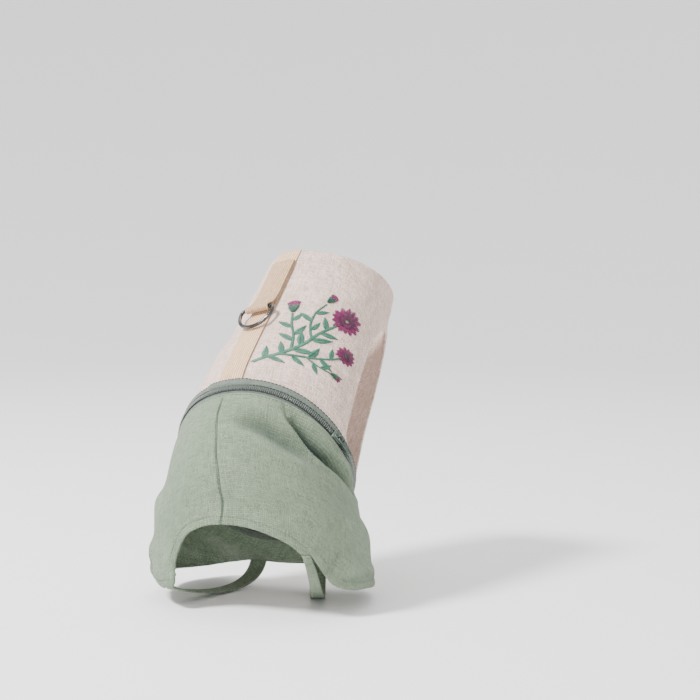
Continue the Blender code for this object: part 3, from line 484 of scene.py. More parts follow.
linen = wovenCloth("linen", linenLook)
sage = wovenCloth("sageLinen", sageLook)
tape = wovenCloth("zipTape", tapeLook)
webbing = ribbedWebbing("webbing", webbingLook)
shadedLoopWebbing = ribbedWebbing("webbingLoopShaded", shadedLoopLook)
steel = plainMetal("ringSteel", steelLook)
sliderPaint = plainMetal("sliderPaint", paintLook)
pullMetal = plainMetal("pullMetal", pullLook)
toothPlastic = plainMetal("zipTeeth", toothLook)
linenThread = threadMaterial("linenThread", (0.84, 0.75, 0.70), (0.62, 0.52, 0.47))
sageThread = threadMaterial("sageThread", (0.095, 0.130, 0.100), (0.045, 0.065, 0.050), 0.6, 0.1)
tanThread = threadMaterial("tanThread", (0.82, 0.69, 0.52), (0.62, 0.49, 0.34))
tapeThread = threadMaterial("tapeThread", (0.030, 0.040, 0.035), (0.012, 0.017, 0.014), 0.7, 0.0)
greenFloss = threadMaterial("greenFloss", (0.045, 0.205, 0.128), (0.020, 0.105, 0.066), 0.5, 0.04)
deepFloss = threadMaterial("deepGreenFloss", (0.026, 0.090, 0.060), (0.012, 0.045, 0.030), 0.5, 0.04)
pinkFloss = threadMaterial("magentaFloss", (0.21, 0.004, 0.090), (0.11, 0.002, 0.050), 0.45, 0.04)
wineFloss = threadMaterial("wineFloss", (0.12, 0.003, 0.055), (0.055, 0.002, 0.025), 0.45, 0.04)
print("materials made")


# Mesh helpers
def finished(obj, finish, body, replaced=()):
    obj.data.materials.append(finish)
    bpy.context.scene.collection.objects.link(obj)
    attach(obj, body)
    if replaced:
        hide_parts(*replaced)
    return obj


# a mesh from arrays; uvs holds one pair for each face corner
def meshObject(name, verts, faces, uvs=None, smooth=True):
    made = bpy.data.meshes.new(name)
    made.from_pydata(np.asarray(verts).tolist(), [], [tuple(face) for face in faces])
    if uvs is not None:
        layer = made.uv_layers.new(name="cloth")
        layer.data.foreach_set("uv", np.asarray(uvs, np.float32).ravel())
    if smooth:
        made.shade_smooth()
    return bpy.data.objects.new(name, made)


# corner indices of a grid's cells, and the columns (unwrapped) of each corner
def gridFaces(rows, columns, wrap):
    last = columns if wrap else columns - 1
    r, c = np.meshgrid(np.arange(rows - 1), np.arange(last), indexing="ij")
    r, c = r.ravel(), c.ravel()
    rowsAt = np.stack([r, r, r + 1, r + 1], 1)
    columnsAt = np.stack([c, c + 1, c + 1, c], 1)
    return rowsAt, columnsAt


# A sheet from a grid of points. uv has one column more than the points for a wrap.
def gridObject(name, points, uv, wrap, flip=False, keep=None):
    rows, columns = points.shape[:2]
    rowsAt, columnsAt = gridFaces(rows, columns, wrap)
    if keep is not None:
        rowsAt, columnsAt = rowsAt[keep.ravel()], columnsAt[keep.ravel()]
    faces = rowsAt * columns + columnsAt % columns
    corners = uv[rowsAt, columnsAt]
    if flip:
        faces, corners = faces[:, ::-1], corners[:, ::-1]
    used = np.unique(faces)
    index = np.full(rows * columns, -1)
    index[used] = np.arange(len(used))
    return meshObject(name, points.reshape(-1, 3)[used], index[faces], corners)


def thickened(obj, thickness, offset):
    shell = obj.modifiers.new("wall", "SOLIDIFY")
    shell.thickness = thickness
    shell.offset = offset
    shell.use_even_offset = True
    return obj


# centimetres along each row and up each column, for a weave of even scale
def gridUv(points, wrap):
    closed = np.concatenate([points, points[:, :1]], 1) if wrap else points
    across = np.linalg.norm(np.diff(closed, axis=1), axis=2).mean(axis=0).cumsum()
    across = np.concatenate([[0], across])
    up = np.linalg.norm(np.diff(closed, axis=0), axis=2).cumsum(axis=0)
    up = np.vstack([np.zeros((1, closed.shape[1])), up])
    return np.stack([np.broadcast_to(across, up.shape), up], 2) * 100


# the direction along a closed path
def alongClosed(path):
    return unit(np.roll(path, -1, 0) - np.roll(path, 1, 0))


# evenly spaced points along a path, with extra rows carried along
def resampled(path, step, closed=False, extra=None):
    path = np.asarray(path, float)
    data = path if extra is None else np.hstack([path, extra])
    if closed:
        data = np.vstack([data, data[:1]])
    run = np.concatenate([[0], np.linalg.norm(np.diff(data[:, :3], axis=0), axis=1).cumsum()])
    count = max(2, int(round(run[-1] / step)) + 1)
    keys = np.linspace(0, run[-1], count)
    if closed:
        keys = keys[:-1]
    return np.stack([np.interp(keys, run, data[:, k]) for k in range(data.shape[1])], 1)


# the same for a flat path, of two columns
def resampledFlat(path, step, closed=False):
    return resampled(np.hstack([path, np.zeros((len(path), 1))]), step, closed)[:, :2]


# Many short tubes, each a row of points (n, k, 3), as one mesh. radius is (n, k) or (k,).
def tubes(name, paths, radius, sides, flat, ups):
    paths = np.asarray(paths, float)
    n, k = paths.shape[:2]
    tangent = np.gradient(paths, axis=1)
    tangent /= np.linalg.norm(tangent, axis=2)[..., None] + 1e-12
    up = np.broadcast_to(ups[:, None], paths.shape)
    side = np.cross(tangent, up)
    side /= np.linalg.norm(side, axis=2)[..., None] + 1e-12
    up = np.cross(side, tangent)
    turn = np.arange(sides) * 2 * math.pi / sides
    radius = np.broadcast_to(radius, (n, k))[..., None, None]
    sideways = np.cos(turn)[:, None] * side[:, :, None]
    upward = flat * np.sin(turn)[:, None] * up[:, :, None]
    verts = (paths[:, :, None] + (sideways + upward) * radius).reshape(-1, 3)
    base = (np.arange(n) * k * sides)[:, None, None]
    a = np.arange(k - 1)[None, :, None] * sides
    s = np.arange(sides)[None, None, :]
    t = (s + 1) % sides
    start = base + a
    quads = np.stack([start + s, start + t, start + sides + t, start + sides + s], -1).reshape(-1, 4)
    return meshObject(name, verts, quads.tolist())


# a row of raised stitches along a path that lies on the cloth
def stitches(name, path, normal, look, finish, body, closed=True):
    line = resampled(path, look["pitch"] / 8, closed, normal)
    count = len(line) // 8
    within = np.linspace(0, 8 * look["fill"], 6)[None]
    picks = (np.arange(count)[:, None] * 8 + within).astype(int) % len(line)
    points, normals = line[picks][..., :3], line[picks][..., 3:]
    arch = np.array([-0.7, 0.35, 0.6, 0.6, 0.35, -0.7]) * look["radius"]
    points = points + normals * arch[None, :, None]
    thin = np.array([0.55, 0.9, 1.0, 1.0, 0.9, 0.55]) * look["radius"]
    ups = normals[:, 2] / (np.linalg.norm(normals[:, 2], axis=1)[:, None] + 1e-12)
    return finished(tubes(name, points, thin, 6, 1.0, ups), finish, body)


stitchLook = {"pitch": 0.0026, "fill": 0.78, "radius": 0.00021}
fineStitch = {"pitch": 0.0021, "fill": 0.76, "radius": 0.00017}
seamShadowStitch = {"pitch": 0.0030, "fill": 1.0, "radius": 0.00030}
tapeShadowStitch = {"pitch": 0.0026, "fill": 1.0, "radius": 0.00055}
zipStitch = {"pitch": 0.0024, "fill": 1.0, "radius": 0.00042}

# Vest
vestLook = {"columns": 252, "rows": 112, "hem": 0.0065, "hemHeight": 0.00035, "neckHem": 0.009}
# waves round the vest, waves along it, phase, height
vestWaves = ((3.0, 2.1, 0.4, 0.00035), (5.0, -3.3, 1.9, 0.00025), (9.0, 4.2, 3.1, 0.00012))
angles = np.linspace(-180, 180, vestLook["columns"], endpoint=False)


# one armhole's edge: sign 1 is the wearer's left
def edgeCurve(sign, count=260):
    looped = [(i, *row) for i, row in enumerate(armholeEdge + armholeEdge[:3])]
    edge = smoothRows(looped, np.linspace(1, len(armholeEdge) + 1, count + 1)[:-1])
    return sign * edge[:, 0], edge[:, 1]


# even-odd test against the armhole's edge, in angle and share
def insideEdge(angle, share, sign):
    edgeAngle, edgeShare = edgeCurve(sign)
    result = np.zeros(angle.shape, bool)
    for i in range(len(edgeAngle)):
        j = (i + 1) % len(edgeAngle)
        cross = (edgeShare[i] > share) != (edgeShare[j] > share)
        reach = (edgeAngle[j] - edgeAngle[i]) * (share - edgeShare[i]) / (edgeShare[j] - edgeShare[i] + 1e-15)
        result ^= cross & (angle < edgeAngle[i] + reach)
    return result


# unevenness, hems and the dips beside them, as height over the smooth vest
def vestLift(points, share, angle, holes):
    height = wave(np.radians(angle), share * 6, vestWaves) * ramp(share, 0.05, 0.25)
    for hole in holes:
        away = gapTo(points, hole)
        height = height * (0.3 + 0.7 * ramp(away, 0.002, 0.02))
        height = height + vestLook["hemHeight"] * (1 - ramp(away, vestLook["hem"], vestLook["hem"] + 0.0012))
        height = height - 0.00028 * bell(away, vestLook["hem"] - 0.001, 0.0007)
        height = height - 0.0004 * (1 - ramp(away, 0.0, 0.0012))
    back = np.abs(angle - strap["angle"]) * math.pi / 180 * waist["half"] * 0.93
    return height * ramp(back, 0.008, 0.018) - 0.0001 * (1 - ramp(back, 0.008, 0.014))


def buildVest():
    low = shareAt(vestSurface, angles, chain["width"] / 2 + chain["vestGap"])
    r = np.linspace(0, 1, vestLook["rows"] + 1)[:, None]
    evenShare = low[None] + (1 - low[None]) * r
    evenAngle = np.broadcast_to(angles, evenShare.shape)
    share, angle = evenShare.copy(), evenAngle.copy()
    holes = []
    for sign in (1, -1):
        edgeAngle, edgeShare = edgeCurve(sign)
        holes.append((vestSurface(edgeShare, edgeAngle), edgeAngle, edgeShare))
    points = lifted(vestSurface, share, angle, 0.0)
    inside = insideEdge(angle, share, 1) | insideEdge(angle, share, -1)
    # cells whose middle is in a hole go, and the rim's corners move onto the edge
    wideAngle = np.concatenate([angle, angle[:, :1] + 360], 1)
    wideShare = np.concatenate([share, share[:, :1]], 1)
    cellAngle, cellShare = ((grid[:-1, :-1] + grid[1:, :-1] + grid[:-1, 1:] + grid[1:, 1:]) / 4
                            for grid in (wideAngle, wideShare))
    keep = ~(insideEdge(cellAngle, cellShare, 1) | insideEdge(cellAngle, cellShare, -1))
    around = np.pad(keep, ((1, 1), (0, 0)), constant_values=True)
    here = np.stack([around[:-1], around[1:], np.roll(around, 1, 1)[:-1], np.roll(around, 1, 1)[1:]])
    rim = here.any(axis=0) & ~here.all(axis=0)
    for line, edgeAngle, edgeShare in holes:
        for i, j in np.argwhere(rim):
            gap = np.linalg.norm(line - points[i, j], axis=1)
            k = gap.argmin()
            if gap[k] < 0.004:
                angle[i, j], share[i, j] = edgeAngle[k], edgeShare[k]
    # the rim's neighbours relax, so that no cell is crushed
    fixed = rim | np.isin(np.arange(share.shape[0]), (0, share.shape[0] - 1))[:, None]
    near = gapTo(points, np.vstack([hole[0] for hole in holes])) < 0.006
    free = near & ~fixed & ~inside
    for _ in range(8):
        for grid in (angle, share):
            beside = np.roll(grid, 1, 1) + np.roll(grid, -1, 1)
            mean = (beside + np.roll(grid, 1, 0) + np.roll(grid, -1, 0)) / 4
            grid[free] = mean[free]
    points = lifted(vestSurface, share, angle, 0.0)
    height = vestLift(points, share, angle, [hole[0] for hole in holes])
    neck = (1 - share) * vestReach
    height = height + 0.0003 * (1 - ramp(neck, vestLook["neckHem"], vestLook["neckHem"] + 0.0012))
    height = height - 0.00025 * bell(neck, vestLook["neckHem"] - 0.001, 0.0008)
    cloth = lifted(vestSurface, share, angle, height)
    flatUv = gridUv(lifted(vestSurface, evenShare, evenAngle, 0.0), True)
    vest = gridObject("vest_cloth", cloth, flatUv, True, True, keep)
    thickened(vest, wall["cloth"], -1)
    finished(vest, linen, bodyName, ("vest_shell",))
    return holes


# the armhole's edge moved outward over the cloth, with the cloth's normals
def hemPath(edgeAngle, edgeShare, distance):
    line = vestSurface(edgeShare, edgeAngle)
    byShare = (vestSurface(edgeShare + 0.002, edgeAngle) - line) / 0.002
    byAngle = (vestSurface(edgeShare, edgeAngle + 0.5) - line) / 0.5
    normal = outward(vestSurface, edgeShare, edgeAngle)
    along = np.roll(line, -1, 0) - np.roll(line, 1, 0)
    away = unit(np.cross(along, normal))
    away *= np.sign(((line - line.mean(axis=0)) * away).sum(axis=1).mean())
    shareStep, angleStep = [], []
    for a, b, target in zip(byShare, byAngle, away * distance):
        solved = np.linalg.lstsq(np.stack([a, b], 1), target, rcond=None)[0]
        shareStep.append(solved[0])
        angleStep.append(solved[1])
    return edgeShare + np.array(shareStep), edgeAngle + np.array(angleStep)


def vestStitches(name, share, angle):
    normal = outward(vestSurface, share, angle)
    stitches(name, vestSurface(share, angle) + normal * 0.0001, normal, fineStitch, linenThread, bodyName)


armholes = buildVest()
for name, (_, edgeAngle, edgeShare) in zip(("left", "right"), armholes):
    vestStitches("armhole_stitches_" + name, *hemPath(edgeAngle, edgeShare, vestLook["hem"] - 0.001))
neckAngle = np.linspace(-180, 180, 360, endpoint=False)
neckShare = np.full_like(neckAngle, 1 - (vestLook["neckHem"] - 0.001) / vestReach)
vestStitches("neck_stitches", neckShare, neckAngle)
print("vest made")


# Embroidery: a sprig of leaves and round blossoms in satin stitches. x runs in millimetres over the cloth to
# the wearer's right from the strap's middle, and y up the vest.
sprigLook = {"apart": 0.34, "thread": 0.00021, "rise": 0.00030, "slant": 0.62, "uneven": 0.10, "knots": 26}
# width at the foot and at the tip, then the points
sprigStems = (
    (3.4, 1.5, ((12.5, 44), (21, 51), (32, 60), (42, 73), (48, 88), (56, 101))),
    (2.1, 1.1, ((27, 56), (39, 58), (52, 62), (63, 70), (68, 76))),
    (2.0, 1.1, ((35, 63), (33, 77), (28, 90), (25, 101))),
    (1.7, 0.9, ((45, 80), (40, 93), (40, 106), (44, 115))),
    (1.5, 0.9, ((46, 60), (56, 56), (66, 56))),
)
# stem, share along it, side, length, width, angle off the stem, bend
sprigLeaves = (
    (0, 0.12, 1, 15.3, 4.8, 52, 0.10), (0, 0.16, -1, 14.2, 4.8, 50, -0.12),
    (0, 0.30, 1, 13.6, 4.5, 58, 0.14), (0, 0.42, -1, 16.5, 5.4, 46, 0.10),
    (0, 0.52, 1, 14.8, 5.1, 52, -0.10), (0, 0.66, -1, 15.9, 5.4, 50, 0.14),
    (0, 0.80, -1, 13.0, 4.5, 48, -0.10), (0, 0.88, 1, 11.8, 4.3, 50, 0.12),
    (1, 0.22, -1, 13.0, 4.5, 52, 0.10), (1, 0.46, 1, 14.2, 4.8, 46, 0.12),
    (1, 0.62, -1, 12.4, 4.3, 54, -0.10), (1, 0.80, 1, 10.6, 3.7, 50, 0.10),
    (2, 0.25, 1, 13.0, 4.5, 50, 0.10), (2, 0.42, -1, 13.6, 4.5, 48, 0.12),
    (2, 0.62, 1, 11.8, 4.0, 52, -0.12), (2, 0.80, -1, 10.6, 3.7, 48, 0.10),
    (3, 0.25, -1, 10.6, 4.0, 50, 0.12), (3, 0.48, 1, 11.2, 4.0, 50, 0.10),
    (3, 0.70, -1, 9.4, 3.4, 46, -0.10), (4, 0.35, -1, 10.6, 3.7, 46, 0.10),
    (4, 0.62, 1, 10.0, 3.7, 50, 0.12), (4, 0.98, 1, 10.0, 3.7, 8, 0.14),
)
# x, y, radius, petals
sprigBlossoms = ((61.5, 109.5, 11.6, 14), (71.5, 81.0, 8.2, 12))
# x, y, length, width, heading in degrees from x
sprigBuds = ((23.8, 106.0, 12.0, 9.6, 104), (45.5, 119.5, 8.4, 6.4, 62), (68.5, 56.0, 8.0, 6.0, 0))


# the table that finds places on the cloth: lowest share, rows, reach in metres, columns, last angle
placeTable = {"low": 0.2, "rows": 40, "reach": 0.1, "columns": 200, "lastAngle": -125}


# points on the vest's cloth, and its normals there, for places on the design
def sprigPlace(x, y, lift):
    low, rows, far, columns, lastAngle = placeTable.values()
    share = y / 1000 / vestReach
    shares, angles = np.linspace(low, 1, rows + 1), np.linspace(strap["angle"], lastAngle, 253)
    table, reach = [], np.linspace(0, far, columns + 1)
    for row in shares:
        line = vestSurface(np.full(len(angles), row), angles)
        run = np.concatenate([[0], np.linalg.norm(np.diff(line, axis=0), axis=1).cumsum()])
        table.append(np.interp(reach, run, angles))
    table = np.array(table)
    u, v = (share - low) / (1 - low) * rows, x / 1000 / far * columns
    i, j = np.clip(u.astype(int), 0, rows - 1), np.clip(v.astype(int), 0, columns - 1)
    u, v = u - i, v - j
    angle = ((table[i, j] * (1 - v) + table[i, j + 1] * v) * (1 - u)
             + (table[i + 1, j] * (1 - v) + table[i + 1, j + 1] * v) * u)
    points = vestSurface(share.ravel(), angle.ravel()).reshape(share.shape + (3,))
    height = vestLift(points, share, angle, [hole[0] for hole in armholes]) + lift
    normal = outward(vestSurface, share.ravel(), angle.ravel()).reshape(points.shape)
    return lifted(vestSurface, share, angle, height), normal


# rows of a thread list: start, end, base height, arch height
def threads(starts, ends, lift=0.0, rise=1.0):
    starts, ends = np.atleast_2d(starts), np.atleast_2d(ends)
    jitter = rng.normal(0, sprigLook["uneven"], (len(starts), 4))
    rows = np.hstack([starts + jitter[:, :2], ends + jitter[:, 2:]])
    return np.hstack([rows, np.full((len(rows), 1), lift), np.full((len(rows), 1), rise)])


def stemCurve(points):
    rows = [(i, *point) for i, point in enumerate(points)]
    fine = smoothRows(rows, np.linspace(0, len(points) - 1, 400))
    line = resampledFlat(fine, sprigLook["apart"])
    tangent = unit(np.gradient(line, axis=0))
    return line, tangent, np.stack([-tangent[:, 1], tangent[:, 0]], 1)


# a line of long overlapping stitches
def alongLine(line, lift):
    ends = np.arange(0, len(line) - 1, 6)
    return threads(line[ends], line[np.minimum(ends + 8, len(line) - 1)], lift, 0.6)


# two halves of slanted stitches off a midrib; also the midrib and the shaded edge
def leafThreads(base, heading, length, width, bend):
    u = np.linspace(0.0, 1.0, max(8, int(length / sprigLook["apart"])))
    ahead = np.array([math.cos(heading), math.sin(heading)])
    aside = np.array([-ahead[1], ahead[0]])

    def rib(at):
        return base + length * (at[:, None] * ahead + bend * (at**2)[:, None] * aside)

    def half(at):
        return width / 2 * np.sin(np.pi * np.clip(at, 0, 1) ** 0.8) ** 0.9

    green, deep = [], []
    tip = np.minimum(u + sprigLook["slant"] * half(u) / length * 1.6 + 0.03, 1)
    for side in (1, -1):
        edge = rib(tip) + side * half(tip)[:, None] * aside
        green.append(threads(rib(u), edge, 0.0, 1.0))
    deep.append(alongLine(rib(np.linspace(0, 0.92, 30)), 0.00022))
    shaded = np.linspace(0.02, 1, 34)
    deep.append(alongLine(rib(shaded) - half(shaded)[:, None] * aside * 1.08, 0.00006))
    return green, deep


# two rings of petals, each a fan of long stitches, round a middle of knots
def blossomThreads(x, y, radius, petals):
    pink, dark, deep = [], [], []
    centre = np.array([x, y])
    rings = ((0.20, 1.0, petals, 0.0), (0.12, 0.66, petals - 3, 0.00032))
    for layer, (inner, outer, count, lift) in enumerate(rings):
        for k in range(count):
            turn = 2 * math.pi * (k + 0.5 * layer) / count + rng.normal(0, 0.05)
            size = radius * (1 + rng.normal(0, 0.04))
            ahead = np.array([math.cos(turn), math.sin(turn)])
            aside = np.array([-ahead[1], ahead[0]])
            wide = 2 * math.pi * radius * outer / count * 0.50
            v = np.linspace(-1, 1, max(5, int(2 * wide / sprigLook["apart"])))[:, None]
            start = centre + ahead * size * inner + aside * v * wide * 0.28
            reach = inner + (outer - inner) * np.sqrt(1 - 0.72 * v**2)
            end = centre + ahead * size * reach + aside * v * wide * 0.9
            (pink if layer == 0 else dark).append(threads(start, end, lift, 1.3))
            edge = centre + ahead * size * inner + aside * wide * 0.42
            edgeEnd = centre + ahead * size * outer * 0.80 + aside * wide * 0.86
            deep.append(threads(edge, edgeEnd, lift + 0.0002, 0.4))
    spots = np.arange(sprigLook["knots"])
    swirl = np.sqrt(spots / sprigLook["knots"]) * radius * 0.20
    places = centre + np.stack([np.cos(spots * 2.4), np.sin(spots * 2.4)], 1) * swirl[:, None]
    knots = threads(places, places + 0.34, 0.0007, 1.2)
    return pink, dark, deep, knots


# a round green cup with a small fan of petals at its mouth
def budThreads(x, y, length, width, heading):
    turn = math.radians(heading)
    ahead, aside = np.array([math.cos(turn), math.sin(turn)]), np.array([-math.sin(turn), math.cos(turn)])
    foot = np.array([x, y]) - ahead * length * 0.35
    v = np.linspace(-1, 1, int(width * 1.3 / sprigLook["apart"]))[:, None]
    scallops = 0.62 + 0.16 * np.cos(v * 9)
    cupTop = foot + ahead * length * scallops + aside * v * width * 0.5 * (1 - 0.1 * v**2)
    cup = threads(foot + aside * v * width * 0.12, cupTop, 0.0001, 1.8)
    mouth = foot + ahead * length * 0.55
    fanTop = mouth + ahead * length * 0.46 * np.sqrt(1 - 0.6 * v**2) + aside * v * width * 0.52
    fan = threads(mouth + aside * v * width * 0.34, fanTop, 0.0, 1.2)
    few = v[::3]
    rimTop = foot + ahead * length * 0.62 + aside * few * width * 0.47
    rim = threads(foot + aside * few * width * 0.14, rimTop, 0.0005, 0.8)
    return cup, fan, rim


# threads laid on the cloth as one mesh
def sewn(name, rows, finish, radius=1.0):
    rows = np.vstack(rows)
    u = np.linspace(0, 1, 6)
    x = rows[:, 0:1] + (rows[:, 2:3] - rows[:, 0:1]) * u
    y = rows[:, 1:2] + (rows[:, 3:4] - rows[:, 1:2]) * u
    arch = np.sin(np.pi * np.clip(u, 0.02, 0.98)) ** 0.6 - 0.35
    lift = rows[:, 4:5] + rows[:, 5:6] * sprigLook["rise"] * arch
    points, normal = sprigPlace(x, y, lift)
    thin = np.array([0.6, 0.95, 1.0, 1.0, 0.95, 0.6]) * sprigLook["thread"] * radius
    finished(tubes(name, points, thin, 5, 0.8, normal[:, 2]), finish, bodyName)


def buildSprig():
    green, deep, pink, wine = [], [], [], []
    curves = []
    for foot, tip, points in sprigStems:
        line, tangent, normal = stemCurve(points)
        curves.append((line, tangent))
        wide = np.linspace(foot, tip, len(line))[:, None] / 2
        slant = tangent * wide * 0.7
        green.append(threads(line + normal * wide - slant, line - normal * wide + slant, 0.00008, 1.2))
        deep.append(alongLine(line - normal * wide * 1.05, 0.00010))
        deep.append(alongLine(line + normal * wide * 1.05, 0.00006))
    for stem, share, side, length, width, off, bend in sprigLeaves:
        line, tangent = curves[stem]
        at = int(share * (len(line) - 1))
        heading = math.atan2(tangent[at, 1], tangent[at, 0]) + side * math.radians(off)
        leaf, ribs = leafThreads(line[at], heading, length, width, bend)
        green += leaf
        deep += ribs
    for blossom in sprigBlossoms:
        petals, upper, edges, knots = blossomThreads(*blossom)
        pink += petals
        wine += upper + edges
        deep.append(knots)
    for bud in sprigBuds:
        cup, fan, rim = budThreads(*bud)
        green.append(cup)
        pink.append(fan)
        deep.append(rim)
    sewn("embroidery_green", green, greenFloss)
    sewn("embroidery_deep_green", deep, deepFloss, 0.72)
    sewn("embroidery_magenta", pink, pinkFloss)
    sewn("embroidery_wine", wine, wineFloss)


buildSprig()
print("embroidery made")


# Back webbing and the loop round the ring's bar

# points over the middle of the back: across in metres from the webbing's middle
def strapGrid(shares, across, lift):
    middle = np.full(len(shares), strap["angle"])
    perDegree = np.linalg.norm(vestSurface(shares, middle + 0.5) - vestSurface(shares, middle - 0.5), axis=1)
    angle = strap["angle"] + np.asarray(across)[None, :] / perDegree[:, None]
    share = np.repeat(shares[:, None], len(across), axis=1)
    return lifted(vestSurface, share, angle, lift)


# a band's cross-section with rounded edges: across, and height from its underside
def bandProfile(width, thickness, count=14):
    half, r = width / 2, thickness / 2
    turn = np.linspace(-math.pi / 2, math.pi / 2, 5)
    flat = np.linspace(-(half - r), half - r, count)
    across = np.concatenate([flat, half - r + r * np.cos(turn), flat[::-1], -(half - r) - r * np.cos(turn)])
    height = np.concatenate([flat * 0, r + r * np.sin(turn), flat * 0 + thickness, r - r * np.sin(turn)])
    return across, height


# a closed band: place(keys, across, height) gives its points, and its UVs run in centimetres
def bandObject(name, place, keys, width, thickness):
    across, height = bandProfile(width, thickness)
    points = np.stack([place(keys, a, h) for a, h in zip(across, height)], 1)
    run = np.concatenate([[0], np.linalg.norm(np.diff(points.mean(axis=1), axis=0), axis=1).cumsum()])
    closedAcross = np.append(across, across[0]) + width / 2
    uv = np.stack(np.broadcast_arrays(closedAcross[None, :], run[:, None]), 2) * 100
    rows, columns = points.shape[:2]
    rowsAt, columnsAt = gridFaces(rows, columns, True)
    caps = [list(range(columns)), list(range((rows - 1) * columns, rows * columns))[::-1]]
    faces = (rowsAt * columns + columnsAt % columns).tolist() + caps
    corners = np.concatenate([uv[rowsAt, columnsAt].reshape(-1, 2), uv[0, :columns], uv[-1, :columns][::-1]])
    return meshObject(name, points.reshape(-1, 3), faces, corners)


def onBack(lift):
    def place(shares, across, height):
        return strapGrid(shares, [across], lift + height)[:, 0]
    return place


strapLook = {"lift": 0.0002, "wall": 0.0009, "apart": 0.00012, "sewn": 0.0086}
strapLow = shareAt(vestSurface, np.array([strap["angle"]]), chain["width"] / 2 + chain["vestGap"])[0]
strapShares = np.linspace(strapLow, 1.0, 150)
webbingBand = bandObject("back_webbing_cloth", onBack(strapLook["lift"]), strapShares, strap["width"],
                         strapLook["wall"])
finished(webbingBand, webbing, bodyName, ("back_webbing",))

ringHeight = 2 * (wall["gap"] + wall["webbing"]) + wall["gap"] + ring["wire"] / 2
footShare, footAngle = np.array([ring["share"]]), np.array([strap["angle"]])
ringOut = outward(vestSurface, footShare, footAngle)[0]
ringAcross = vestSurface(footShare, footAngle + 0.5)[0] - vestSurface(footShare, footAngle - 0.5)[0]
ringAcross /= np.linalg.norm(ringAcross)
ringDown = np.cross(ringOut, ringAcross)
ringDown *= -np.sign(ringDown[2])
ringCentre = vestSurface(footShare, footAngle)[0] + ringOut * ringHeight


# the loop's middle line: distance down the back from the bar, and height over the vest
def loopPath():
    step = strapLook["wall"] + strapLook["apart"]
    radius = ring["wire"] / 2 + strapLook["apart"] + strapLook["wall"] / 2
    low = strapLook["lift"] + step + strapLook["wall"] / 2
    lengths = np.linspace(ring["loop"], ring["slope"], 26)
    rising = low + (ringHeight - radius - low) * (1 - ramp(lengths, ring["slope"], 3.2 * ring["slope"]))
    path = list(zip(-lengths, rising)) + [(-ring["slope"] / 2, ringHeight - radius)]
    for i in range(25):
        turn = math.radians(-90 + 190 * i / 24)
        path.append((radius * math.cos(turn), ringHeight + radius * math.sin(turn)))
    path.append((-ring["slope"] / 2, (ringHeight + radius) * 0.6 + (rising[-1] + step) * 0.4))
    path += list(zip(-lengths[::-1], rising[::-1] + step))
    return np.array(path)


# the loop is flat near the bar and lies along the curved back above it
def onBar(path, across, height):
    middle = np.full(2, strap["angle"])
    ends = vestSurface(np.array([ring["share"] - 0.002, ring["share"] + 0.002]), middle)
    perMetre = 0.004 / np.linalg.norm(ends[1] - ends[0])
    step = unit(np.gradient(path, axis=0))
    moved = path + np.stack([step[:, 1], -step[:, 0]], 1) * (height - strapLook["wall"] / 2)
    shares = ring["share"] - moved[:, 0] * perMetre
    back = strapGrid(shares, [across], moved[:, 1:2])[:, 0]
    bar = ringCentre + moved[:, :1] * ringDown + (moved[:, 1:] - ringHeight) * ringOut + across * ringAcross
    settle = ramp(-path[:, 0], 0.3 * ring["slope"], 2 * ring["slope"])[:, None]
    return bar * (1 - settle) + back * settle


loopBand = bandObject("ring_loop_cloth", onBar, loopPath(), strap["width"], strapLook["wall"])
finished(loopBand, shadedLoopWebbing, bodyName, ("ring_loop",))

webbingSewn = np.linspace(strapLow + 0.05, 0.995, 200)
webbingOut = outward(vestSurface, webbingSewn, np.full_like(webbingSewn, strap["angle"]))
for name, across in (("right", -strapLook["sewn"]), ("left", strapLook["sewn"])):
    path = strapGrid(webbingSewn, [across], strapLook["lift"] + strapLook["wall"])[:, 0]
    stitches("webbing_stitches_" + name, path, webbingOut, fineStitch, tanThread, bodyName, False)
print("webbing made")

# D ring

def ringOutline():
    half = ring["inner"] / 2 + ring["wire"] / 2
    corner, bow = ring["corner"], ring["reach"] - ring["corner"]
    turn = np.radians(np.linspace(0, 90, 10))
    right = np.stack([half - corner + corner * np.sin(turn), corner - corner * np.cos(turn)], 1)
    arc = np.pi * np.linspace(0, 1, 66)[1:-1]
    middle = np.stack([half * np.cos(arc), corner + bow * np.sin(arc) ** 0.9], 1)
    left = right[::-1] * (-1, 1)
    return np.vstack([right, middle, left])


# round wire, a little flattened, with a welded seam in the middle of the bar
def buildRing():
    outline = resampledFlat(ringOutline(), 0.0005, True)
    lift = math.radians(ring["tilt"])
    lie = ringDown * math.cos(lift) - ringOut * math.sin(lift)
    path = ringCentre + outline[:, :1] * ringAcross + outline[:, 1:] * lie
    flatOut = np.cross(ringAcross, lie)
    along = alongClosed(path)
    side = np.cross(along, flatOut)
    sides = 16
    turn = np.arange(sides) * 2 * math.pi / sides
    weld = 1 + 0.05 * bell(np.linalg.norm(path - ringCentre, axis=1), 0, 0.0012)
    radius = (ring["wire"] / 2 * weld)[:, None, None]
    sideways = np.cos(turn)[None, :, None] * side[:, None]
    points = path[:, None] + radius * (sideways + 0.94 * np.sin(turn)[None, :, None] * flatOut)
    n = len(path)
    i, j = np.meshgrid(np.arange(n), np.arange(sides), indexing="ij")
    a, b = (i + 1) % n, (j + 1) % sides
    faces = np.stack([i * sides + j, i * sides + b, a * sides + b, a * sides + j], -1).reshape(-1, 4)
    wire = meshObject("d_ring_wire", points.reshape(-1, 3), faces.tolist())
    finished(wire, steel, ringBody, ("d_ring",))


buildRing()
print("ring made")


# Zip
ringFine = np.linspace(-180, 180, 1440, endpoint=False)
zero = np.zeros_like(ringFine)
chainLine = vestSurface(zero, ringFine)
chainOut = unit(outward(vestSurface, zero, ringFine) + outward(seatSurface, zero, ringFine))
zipLook = {"pitch": 0.00134, "tooth": 0.00145, "width": 0.00040, "height": 0.00070}


